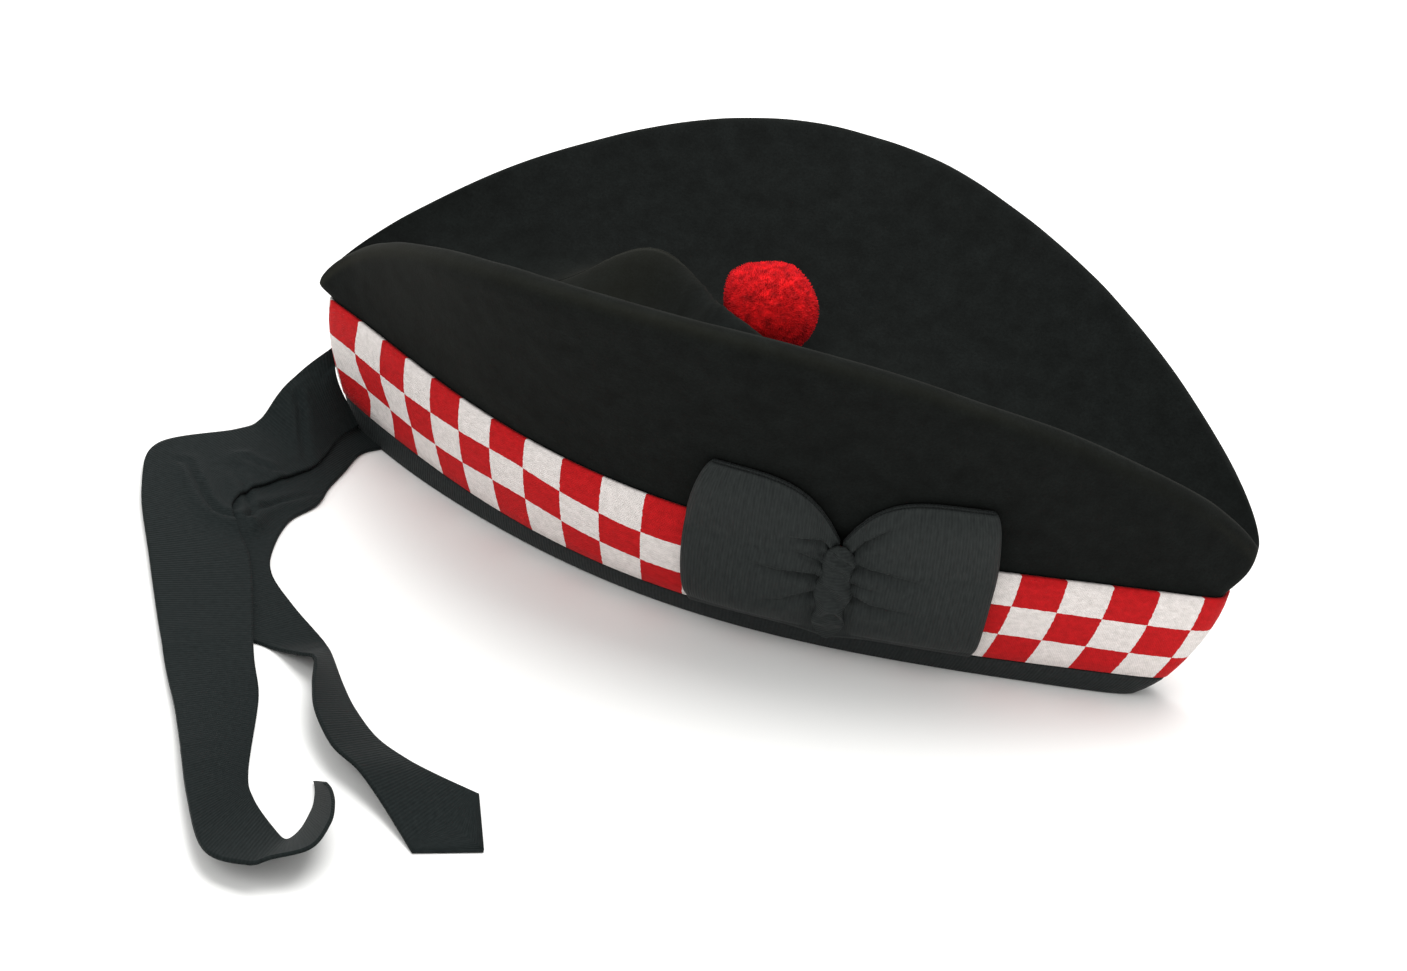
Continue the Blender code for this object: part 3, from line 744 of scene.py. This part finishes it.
# A longer tuft on the toorie: its direction and its rise as a share of the toorie's radius
Tuft = namedtuple("Tuft", "way rise")
TUFTS = (
    Tuft(Vector((-0.88, 0.03, 0.47)), 0.13),
    Tuft(Vector((0.19, 0.49, 0.85)), 0.07),
)


def toorie_centre():
    """The middle of the toorie, which leans back a little from its place in the frame."""
    low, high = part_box("toorie")
    return (low + high) / 2 - TOORIE_LEAN


def toorie_radius(way):
    """Radius of the clipped tuft in a direction: round, with soft flats and two longer tufts."""
    rise = sum(tuft.rise * math.exp((way.dot(tuft.way) - 1) / TUFT_SPREAD) for tuft in TUFTS)
    uneven = 0.04 * noise.noise(way * 1.4 + Vector((3.1, 0.4, 1.7)))
    uneven += 0.018 * noise.noise(way * 5.0)
    return TOORIE_DIAMETER / 2 * (0.98 + rise + uneven)


def wool_finish():
    """Cut wool yarn: saturated red, deep in the shade, with a bright bloom at the edges."""
    finish, shader = new_finish("cut_red_wool_yarn", {
        "Roughness": 0.9, "Specular IOR Level": 0.2, "Sheen Weight": 0.8,
        "Sheen Roughness": 0.4, "Sheen Tint": hex_colour("#FF3048"),
    })
    place = add_node(finish, "ShaderNodeTexCoord")
    # The yarn's ends show as specks about 2 mm across
    yarn = add_node(finish, "ShaderNodeTexNoise", None, {
        "Vector": place.outputs["Object"], "Scale": 1 / (2.2 * MM), "Detail": 3.0,
    })
    shade = add_node(finish, "ShaderNodeValToRGB", None, {"Fac": yarn.outputs["Fac"]})
    for end, spot, code in zip(shade.color_ramp.elements, (0.3, 0.7), ("#8C080B", "#EA181C")):
        end.position, end.color = spot, hex_colour(code)
    bump = add_node(finish, "ShaderNodeBump", None, {
        "Strength": 0.5, "Distance": 0.3 * MM, "Height": yarn.outputs["Fac"],
    })
    feed_shader(finish, shader, shade.outputs["Color"], bump)
    return finish


def sphere_ways(count):
    """Directions spread evenly over a ball."""
    golden = math.pi * (3 - math.sqrt(5))
    ways = []
    for index in range(count):
        upward = 1 - 2 * (index + 0.5) / count
        ring = math.sqrt(1 - upward * upward)
        turn = golden * index
        ways.append(Vector((ring * math.cos(turn), ring * math.sin(turn), upward)))
    return ways


def build_toorie():
    """The core and its yarn ends, as one mesh."""
    centre = toorie_centre()
    bm = bmesh.new()
    bmesh.ops.create_icosphere(bm, subdivisions=5, radius=1.0)
    for vertex in bm.verts:
        way = vertex.co.normalized()
        lump = noise.noise(way * 9.0) * CORE_LUMPS
        vertex.co = centre + way * (toorie_radius(way) - CORE_DEPTH + lump)
    points = [vertex.co.copy() for vertex in bm.verts]
    faces = [tuple(vertex.index for vertex in face.verts) for face in bm.faces]
    bm.free()
    # The noise that leans the yarn ends is seeded, so that it is the same in every run
    noise.seed_set(5)
    for index, way in enumerate(sphere_ways(YARN_ENDS)):
        side = way.orthogonal().normalized()
        other = way.cross(side)
        lean = noise.noise_vector(way * 17.0) * 0.5
        tip_way = (way + (lean - way * lean.dot(way)) * 0.5).normalized()
        reach = toorie_radius(way)
        root = centre + way * (reach - YARN_LENGTH)
        tip = root + tip_way * YARN_LENGTH * (1.0 + 0.10 * math.sin(12.9 * index))
        start = len(points)
        for middle, thick in ((root, 1.0), (tip, YARN_TAPER)):
            for corner in range(3):
                angle = 2 * math.pi * corner / 3 + index
                offset = side * math.cos(angle) + other * math.sin(angle)
                points.append(middle + offset * YARN_THICKNESS / 2 * thick)
        faces += [tuple(start + corner for corner in face) for face in YARN_FACES]
    toorie = make_mesh("wool_toorie", points, faces)
    toorie.data.materials.append(wool_finish())
    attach(toorie, "root")
    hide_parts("toorie")


build_toorie()


# Bow
# A flat bow of wide black grosgrain on the near side: two loops of ribbon, each folded back on
# itself, gathered under a small pleated knot. Creases spread from the knot into the loops.

RIBBON_THICKNESS = 0.9 * MM
BOW_PLACE = 36.0 * MM
BOW_HEIGHT = 34.5 * MM
BOW_REACH = 39.6 * MM
BOW_WIDTH = 48.0 * MM
BOW_PINCH = 32.0 * MM
BOW_SAG = 2.4 * MM
BOW_PUFF = 3.0 * MM
BOW_DROOP = 1.2 * MM
KNOT_WIDTH = 8.4 * MM
KNOT_HEIGHT = 30.6 * MM
KNOT_STAND = 3.2 * MM
KNOT_RISE = 1.5 * MM
LAYERS_AT_KNOT = 1.7
LAYERS_AT_END = 3.2
LAYERS_CLOSED = 1.1 * RIBBON_THICKNESS
LOOP_BEND = 0.955
KNOT_GRIP = 0.62 * KNOT_WIDTH / BOW_REACH
KNOT_ENDS = 0.985

# The knot's pleats: the angle that they run through in half its height, and their depth
PLEAT_ANGLE, PLEAT_DEPTH = 17, 0.26

# Steps in the bow's meshes: across half a loop, along its back, its bend and its front, up half of
# the knot, and round it
LOOP_STEPS, BACK_STEPS, BEND_STEPS, FRONT_STEPS = 24, 13, 8, 48
KNOT_STEPS, KNOT_CORNERS = 36, 40

# A loop of the bow: its side of the knot, its reach as a share of the bow's, and how far its end
# draws in at the lower and the upper corner, as shares of that reach
Loop = namedtuple("Loop", "side reach lower upper")
REAR_LOOP = Loop(-1, 1.0, 0.06, 0.12)
FRONT_LOOP = Loop(1, 0.97, 0.02, 0.055)

# A fold in a ribbon: the places that it passes through in mm, how wide its groove is, how high the
# cloth stands up on both sides of it, and how deep its groove is pressed in
Fold = namedtuple("Fold", "places width rise press", defaults=(0.0,))

# How far a fold's raised cloth and the whole fold reach, in widths of its groove
FOLD_SHOULDER, FOLD_END = 2.6, 8

# Folds of the two loops: places are out from the knot and up from the ribbon's middle line
REAR_FOLDS = (
    Fold(((3, 0), (8, -2), (14, -4), (24, -4)), 1.3, 1.5, 1.8),
    Fold(((3, 15), (9, 11), (14, 9)), 1.1, 1.2, 1.3),
    Fold(((3, -6), (7, -9), (12, -13), (19, -15)), 1.3, 1.3, 1.3),
    Fold(((2, 6), (7, 5), (12, 5)), 0.9, 1.0, 0.9),
)
FRONT_FOLDS = (
    Fold(((2, 8), (7, 4), (14, 1), (24, -1)), 1.3, 1.6, 1.7),
    Fold(((2, 13), (6, 16), (11, 18), (16, 19)), 1.5, 1.2, 1.8),
    Fold(((3, -5), (9, -9), (14, -10), (25, -11)), 1.3, 1.4, 1.8),
    Fold(((2, 1), (6, -2), (11, -4)), 0.9, 1.0, 0.9),
)


def near_wall(x, z):
    """The felt's outside on the near side at a place along the cap and a height."""
    if z <= BAND_TOP:
        outline = side_outline(z)
        return Vector((x, -outline.width_at(x / outline.half_length), z))
    lower = side_outline(BAND_TOP)
    reach = x / RIDGE.half_length
    share = (z - BAND_TOP) / (ridge_height(reach) - BAND_TOP)
    low = lower.width_at(x / lower.half_length)
    return Vector((x, -blend(low, RIDGE.width_at(reach), share), z))


def off_wall(x, z, out):
    """A point out from the near wall, square to it, with the wall's bend over the band bridged."""
    step = 8 * MM
    along = near_wall(x + step, z) - near_wall(x - step, z)
    up = near_wall(x, z + step) - near_wall(x, max(z - step, 0.0))
    return near_wall(x, z) + along.cross(up).normalized() * out


def bow_back():
    """Distance from the felt to the bow's back layer."""
    return SEAM_GAP + BAND_THICKNESS + SEAM_GAP + RIBBON_THICKNESS / 2


def pinch_middle():
    """Height of the middle of the bow where the knot draws it in."""
    return BOW_HEIGHT - BOW_WIDTH / 2 - BOW_SAG + BOW_PINCH / 2


def loop_point(loop, along, across, out):
    """A point of a loop: along from 0 at the knot to 1, across from -1 at its lower edge to 1."""
    opening = 1 - (1 - along) ** 5
    half = blend(BOW_PINCH, BOW_WIDTH, opening) / 2
    middle = blend(pinch_middle(), BOW_HEIGHT, opening)
    corner = (loop.upper if across > 0 else loop.lower) * across ** 2 * along ** 4
    corner += 0.025 * across ** 14 * along ** 8
    x = BOW_PLACE + loop.side * (SEAM_GAP + (loop.reach * BOW_REACH - SEAM_GAP) * (along - corner))
    droop = BOW_DROOP * along * min(across, 0.0) ** 2
    return off_wall(x, middle + half * across - droop, out)


def layer_step(along):
    """Distance between a loop's two layers, which the knot draws together."""
    return blend(LAYERS_AT_KNOT, LAYERS_AT_END, along) * RIBBON_THICKNESS


def nearest_on(places, x, y):
    """Distance in mm from a point to a line through places, and how far along the line that is."""
    best, at = 1e9, 0.0
    for index, ((ax, ay), (bx, by)) in enumerate(zip(places, places[1:])):
        dx, dy = bx - ax, by - ay
        share = limited(((x - ax) * dx + (y - ay) * dy) / (dx * dx + dy * dy))
        away = math.hypot(x - ax - share * dx, y - ay - share * dy)
        if away < best:
            best, at = away, (index + share) / (len(places) - 1)
    return best, at


def fold_relief(folds, x, y):
    """How far folds move a ribbon's face out at a place in mm: up beside a groove, down in it."""
    relief = 0.0
    for fold in folds:
        away, share = nearest_on(fold.places, x, y)
        if away < FOLD_END * fold.width:
            fade = 1 - share ** 3
            beside = math.exp(-(away / (FOLD_SHOULDER * fold.width)) ** 2)
            groove = math.exp(-(away / fold.width) ** 2)
            relief += fade * (fold.rise * (beside - groove) - fold.press * groove)
    return relief * MM


def ribbon_strip(name, rows, finish):
    """A strip of ribbon over rows of middle points, with ribs across it, and the strip's length."""
    count = len(rows[0])
    run = distances([row[count // 2] for row in rows])
    points = [point for row in rows for point in row]
    faces = []
    for row in range(len(rows) - 1):
        for index in range(count - 1):
            low = row * count + index
            faces.append((low, low + 1, low + count + 1, low + count))
    strip = make_mesh(name, points, faces)

    def place_in_ribs(face_index, vertex):
        row, index = divmod(vertex, count)
        return run[row] / RIB, index / (count - 1) * 20

    set_uv(strip, "ribs", place_in_ribs)
    wall = strip.modifiers.new("thickness", 'SOLIDIFY')
    wall.thickness = RIBBON_THICKNESS
    wall.offset = 0.0
    strip.data.materials.append(finish)
    return strip, run[-1]


def build_loop(name, node, loop, folds, finish):
    """One loop: the back layer, the bend at its end, and the puffed and creased front layer."""
    across = [step / LOOP_STEPS - 1 for step in range(2 * LOOP_STEPS + 1)]
    back = bow_back()
    rows = []
    for step in range(BACK_STEPS + 1):
        along = step / BACK_STEPS * LOOP_BEND
        rows.append([loop_point(loop, along, place, back) for place in across])
    for step in range(1, BEND_STEPS):
        turn = math.pi * step / BEND_STEPS
        along = LOOP_BEND + (1 - LOOP_BEND) * math.sin(turn)
        row = []
        for place in across:
            step_out = max(layer_step(1.0) * (1 - place ** 8), LAYERS_CLOSED)
            row.append(loop_point(loop, along, place, back + step_out / 2 * (1 - math.cos(turn))))
        rows.append(row)
    for step in range(FRONT_STEPS + 1):
        along = LOOP_BEND * (1 - step / FRONT_STEPS)
        free = max(0.0, (along - KNOT_GRIP) / (1 - KNOT_GRIP))
        puff = BOW_PUFF * math.sin(math.pi * free ** 0.7) ** 0.8
        row = []
        for place in across:
            # The two layers lie together along both edges, where the ribbon was pressed flat
            close = 1 - place ** 8
            out = (layer_step(along) + puff * (1 - 0.4 * place ** 2)) * close
            out += fold_relief(folds, along * BOW_REACH / MM, place * BOW_WIDTH / 2 / MM) * close
            row.append(loop_point(loop, along, place, back + max(out, LAYERS_CLOSED)))
        rows.append(row)
    strip, length = ribbon_strip(name, rows, finish)
    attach(strip, "root")
    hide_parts(node)


def build_knot(finish):
    """The knot: a small pad of pinched pleats."""
    base = bow_back() + layer_step(KNOT_GRIP) + RIBBON_THICKNESS / 2 + SEAM_GAP
    rings = []
    for step in range(2 * KNOT_STEPS + 1):
        share = KNOT_ENDS * (step / KNOT_STEPS - 1)
        swell = math.sqrt(1 - share ** 4)
        ring = []
        for corner in range(KNOT_CORNERS):
            angle = 2 * math.pi * corner / KNOT_CORNERS
            spread = blend(0.9, 1.0, limited(share + 0.9))
            wide = KNOT_WIDTH / 2 * swell * math.cos(angle) * spread
            wide *= 1 + 0.14 * math.sin(9 * share + 1)
            front = max(math.sin(angle), 0.0) ** 0.7
            bunch = noise.noise(Vector((2.2 * share, 1.1 * math.cos(angle), 0.7)))
            fold = math.cos(PLEAT_ANGLE * share + 1.1 * math.cos(angle) + 4 * bunch)
            pleat = 1 - PLEAT_DEPTH * (1 + fold)
            flat = blend(0.05, 1.0, limited(1.6 * share + 1.3))
            out = base + KNOT_STAND * front * swell * pleat * flat * (1 + 0.3 * bunch)
            height = pinch_middle() + KNOT_HEIGHT / 2 * share + KNOT_RISE * max(share, 0.0) ** 2
            ring.append(off_wall(BOW_PLACE + wide, height, out))
        rings.append(ring)
    knot = skin_rings("pleated_knot", rings, capped=True)

    def place_in_ribs(face_index, vertex):
        row, corner = divmod(vertex, KNOT_CORNERS)
        return row * 0.6, corner * 0.5

    set_uv(knot, "ribs", place_in_ribs)
    tidy_mesh(knot)
    knot.data.materials.append(finish)
    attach(knot, "root")
    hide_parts("bow_knot")


bow_finish = ribbon_finish("black_grosgrain_bow", "#1A1D1D", "#2B2F2E", 0.12)
build_loop("rear_loop", "bow_rear_loop", REAR_LOOP, REAR_FOLDS, bow_finish)
build_loop("front_loop", "bow_front_loop", FRONT_LOOP, FRONT_FOLDS, bow_finish)
build_knot(bow_finish)


# Tails
# Two lengths of narrower grosgrain sewn into the back seam, which lie on the table as they fell:
# the long one turns a corner and curls up at its end, the short one rolls over half-way along.

RIBBON_WIDTH = 24.0 * MM
LONG_TAIL = 260.0 * MM
SHORT_TAIL = 200.0 * MM
TAIL_ROOT_HEIGHT = 21.5 * MM
TAIL_POINT = 13.0 * MM
TAIL_FLOOR = 0.2 * MM + RIBBON_THICKNESS / 2
LONG_ROOT_TURNS = (-8, 18)
SHORT_ROOT_TURNS = (10, 28)
ROOT_FOOT = 2.6 * MM
ROWS_A_SECTION = 14
RIBBON_STEPS = 32

# A section of a tail: its middle from the cap's back end, as shares of the tail's length forward
# and to the near side, its lift as a share of the ribbon's width, the way that its width points
# seen from above, its tilt, and its spread as a share of the ribbon's width
Section = namedtuple("Section", "ahead aside lift turn tilt spread")

LONG_SECTIONS = [Section(*row) for row in (
    (-0.035, 0.043, 0.34, -33, -30, 1.02),
    (-0.038, 0.081, 0.212, -29, -15, 1.07),
    (-0.04, 0.113, 0.097, -29, -2, 1.12),
    (-0.051, 0.144, 0.081, -28, 0, 1.15),
    (-0.087, 0.218, 0.078, -15, 0, 1.38),
    (-0.068, 0.288, 0.077, 4, 0, 1.09),
    (0.001, 0.388, 0.077, 32, 0, 1.09),
    (0.093, 0.543, 0.077, 44, 0, 0.95),
    (0.14, 0.616, 0.078, 59, -6, 0.98),
    (0.2, 0.731, 0.12, 78, -11, 0.96),
    (0.238, 0.783, 0.136, 95, -10, 1.29),
    (0.277, 0.801, 0.172, 101, -16, 1.06),
    (0.293, 0.798, 0.191, 103, -23, 0.84),
    (0.307, 0.775, 0.222, 119, -26, 0.9),
    (0.304, 0.739, 0.234, 124, -28, 0.87),
    (0.296, 0.715, 0.23, 126, -32, 0.77),
    (0.286, 0.696, 0.214, 125, -33, 0.68),
    (0.277, 0.684, 0.183, 123, -33, 0.55),
)]
SHORT_SECTIONS = [Section(*row) for row in (
    (-0.005, 0.08, 0.021, -13, 0, 0.75),
    (-0.015, 0.144, 0.021, -9, 0, 0.98),
    (-0.012, 0.21, 0.021, 0, 0, 0.98),
    (-0.004, 0.27, 0.021, 5, 0, 0.99),
    (-0.012, 0.347, 0.021, 17, 0, 0.99),
    (0.014, 0.448, 0.021, 38, 0, 1),
    (0.056, 0.521, 0.021, 55, 0, 0.99),
    (0.122, 0.578, 0.021, 64, 0, 0.96),
    (0.187, 0.603, 0.029, 56, 0, 0.61),
    (0.221, 0.624, 0.127, 83, -16, 0.59),
    (0.244, 0.643, 0.196, 94, -26, 0.62),
    (0.277, 0.697, 0.202, 82, -27, 0.68),
    (0.309, 0.742, 0.192, 79, -24, 0.79),
    (0.356, 0.786, 0.168, 78, -20, 0.83),
    (0.402, 0.807, 0.149, 78, -17, 0.84),
    (0.447, 0.826, 0.097, 80, -8, 0.95),
    (0.509, 0.853, 0.027, 83, 0, 1.27),
)]


def smooth(values, place):
    """A smooth curve through values, read at a place from 0 to one less than their number."""
    index = min(int(place), len(values) - 2)
    share = place - index
    before = values[max(index - 1, 0)]
    start, end = values[index], values[index + 1]
    after = values[min(index + 2, len(values) - 1)]
    rise, fall = (end - before) / 2, (after - start) / 2
    square, cube = share ** 2, share ** 3
    return (
        start * (2 * cube - 3 * square + 1) + rise * (cube - 2 * square + share)
        + end * (3 * square - 2 * cube) + fall * (cube - square)
    )


def tail_edges(section, length):
    """The two ends of a section's width, left and right."""
    seam = Vector((-RIM_LENGTH / 2, 0.0, 0.0))
    lift = section.lift * RIBBON_WIDTH
    middle = seam + Vector((section.ahead * length, -section.aside * length, lift))
    turn, tilt = math.radians(section.turn), math.radians(section.tilt)
    way = Vector((math.cos(turn) * math.cos(tilt), math.sin(turn) * math.cos(tilt), math.sin(tilt)))
    half = way * section.spread * RIBBON_WIDTH / 2
    return middle - half, middle + half


def tail_rows(sections, length, root_at, point):
    """The rows of a tail's middle surface, from its root to its cut end."""
    across = [step / RIBBON_STEPS for step in range(RIBBON_STEPS + 1)]
    edges = [tail_edges(section, length) for section in sections]
    stations = [[root_at(place) for place in across]]
    stations += [[left.lerp(right, place) for place in across] for left, right in edges]
    lines = list(zip(*stations))
    steps = range((len(stations) - 1) * ROWS_A_SECTION + 1)
    rows = [[smooth(line, step / ROWS_A_SECTION) for line in lines] for step in steps]
    middle = RIBBON_STEPS // 2
    ahead = (rows[-1][middle] - rows[-2][middle]).normalized() * point
    for row, share in ((rows[-1], 1.0), (rows[-2], 0.6), (rows[-3], 0.3)):
        for index, place in enumerate(across):
            row[index] += ahead * (1 - abs(2 * place - 1)) * share
    return rows


def build_tail(name, node, rows, finish):
    """The ribbon over its rows, kept on or above the table and raised beside its folds."""
    for row in rows:
        for spot in row:
            spot.z = max(spot.z, TAIL_FLOOR) + fold_relief(TAIL_FOLDS, spot.x / MM, spot.y / MM)
    tail, length = ribbon_strip(name, rows, finish)
    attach(tail, "root")
    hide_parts(node)


def long_root(share):
    """A point of the long tail's root, sewn up the back seam."""
    out = SEAM_GAP + BAND_THICKNESS + SEAM_GAP + RIBBON_THICKNESS / 2
    height = blend(TAIL_ROOT_HEIGHT, ROOT_FOOT, share)
    return side_point(blend(*LONG_ROOT_TURNS, share) % 360, height, out)


def short_root(share):
    """A point of the short tail's root, beside the binding on the table."""
    out = SEAM_GAP + BINDING_THICKNESS / 2
    return side_point(blend(*SHORT_ROOT_TURNS, share), TAIL_FLOOR, out)


# Folds of the tails: places in mm are forward of the cap's middle and to its far side
TAIL_FOLDS = (
    Fold(((-116, -78), (-125, -77), (-130, -73), (-140, -62), (-144, -57), (-150, -59)), 1.5, 2.1),
    Fold(((-116, -74), (-120, -67), (-124, -61), (-129, -56), (-133, -52)), 1.4, 1.7),
    Fold(((-133, -14), (-129, -19), (-126, -24), (-122, -30), (-118, -36)), 1.5, 1.9),
    Fold(((-133, -45), (-129, -46), (-123, -46), (-121, -44)), 1.4, 1.6),
    Fold(((-117, -76), (-117, -68), (-115, -60), (-112, -54), (-109, -47)), 1.4, 1.7),
    Fold(((-104, -141), (-100, -134), (-94, -125)), 1.6, 0.8),
    Fold(((-76, -186), (-74, -180), (-69, -175)), 1.8, 0.8),
)


tail_finish = ribbon_finish("black_grosgrain_tail", "#111616", "#1E2323", 0.04)
long_rows = tail_rows(LONG_SECTIONS, LONG_TAIL, long_root, 0.0)
short_rows = tail_rows(SHORT_SECTIONS, SHORT_TAIL, short_root, TAIL_POINT)
build_tail("long_ribbon", "long_tail", long_rows, tail_finish)
build_tail("short_ribbon", "short_tail", short_rows, tail_finish)


# Table, light and camera
# A pale matt table under broad soft light from above, with the camera at the photograph's angle:
# from the near side, a little to the front, 27 degrees up and rolled so that the cap's front dips.

CAMERA_TURN = 13.77
CAMERA_RISE = 27.09
CAMERA_ROLL = 12.31
CAMERA_DISTANCE = 817.8 * MM
CAMERA_TARGET = Vector((-9.9, -18.1, 26.2)) * MM
FOCAL_PIXELS = 3000
PHOTO_WIDTH = 1407
SENSOR_WIDTH = 36.0
TABLE_REACH = 6.0
AMBIENT_LIGHT = 0.8
LIT_PLACE = Vector((0, 0, 0.04))


def build_table():
    """A plain pale table top."""
    reach = TABLE_REACH
    corners = [(-reach, -reach, 0), (reach, -reach, 0), (reach, reach, 0), (-reach, reach, 0)]
    table = make_mesh("table", corners, [(0, 1, 2, 3)])
    finish, _ = new_finish("pale_matt_table", {
        "Base Color": hex_colour("#F4F4F2"), "Roughness": 0.9, "Specular IOR Level": 0.1,
    })
    table.data.materials.append(finish)


def add_light(name, place, size, power):
    """A square soft light facing the cap: its place and size in metres, and its power in watts."""
    lamp = bpy.data.lights.new(name, 'AREA')
    lamp.shape = 'SQUARE'
    lamp.size = size
    lamp.energy = power
    obj = put_in_scene(name, lamp)
    obj.location = place
    obj.rotation_mode = 'QUATERNION'
    obj.rotation_quaternion = (LIT_PLACE - Vector(place)).to_track_quat('-Z', 'Y')


def build_camera():
    """The camera at the photograph's angle."""
    turn, rise, roll = (math.radians(v) for v in (CAMERA_TURN, CAMERA_RISE, CAMERA_ROLL))
    right = Vector((math.cos(turn), math.sin(turn), 0.0))
    level = Vector((math.sin(turn), -math.cos(turn), 0.0))
    back = level * math.cos(rise) + Vector((0.0, 0.0, math.sin(rise)))
    up = back.cross(right)
    tilted_right = right * math.cos(roll) + up * math.sin(roll)
    tilted_up = up * math.cos(roll) - right * math.sin(roll)
    data = bpy.data.cameras.new("camera")
    data.sensor_fit = 'HORIZONTAL'
    data.sensor_width = SENSOR_WIDTH
    data.lens = SENSOR_WIDTH * FOCAL_PIXELS / PHOTO_WIDTH
    data.clip_start = 0.01
    data.clip_end = 50.0
    pose = Matrix((tilted_right, tilted_up, back)).transposed().to_4x4()
    pose.translation = CAMERA_TARGET + back * CAMERA_DISTANCE
    camera = put_in_scene("camera", data)
    camera.matrix_world = pose
    bpy.context.scene.camera = camera


build_table()
world = bpy.data.worlds.new("studio")
world.use_nodes = True
sky = world.node_tree.nodes["Background"].inputs
sky["Color"].default_value = (1.0, 1.0, 1.0, 1.0)
sky["Strength"].default_value = AMBIENT_LIGHT
bpy.context.scene.world = world
bpy.context.scene.view_settings.view_transform = 'Standard'
add_light("overhead", (0.0, 0.25, 1.65), 1.2, 26)
add_light("front", (-0.6, -1.4, 1.2), 1.0, 8)
build_camera()
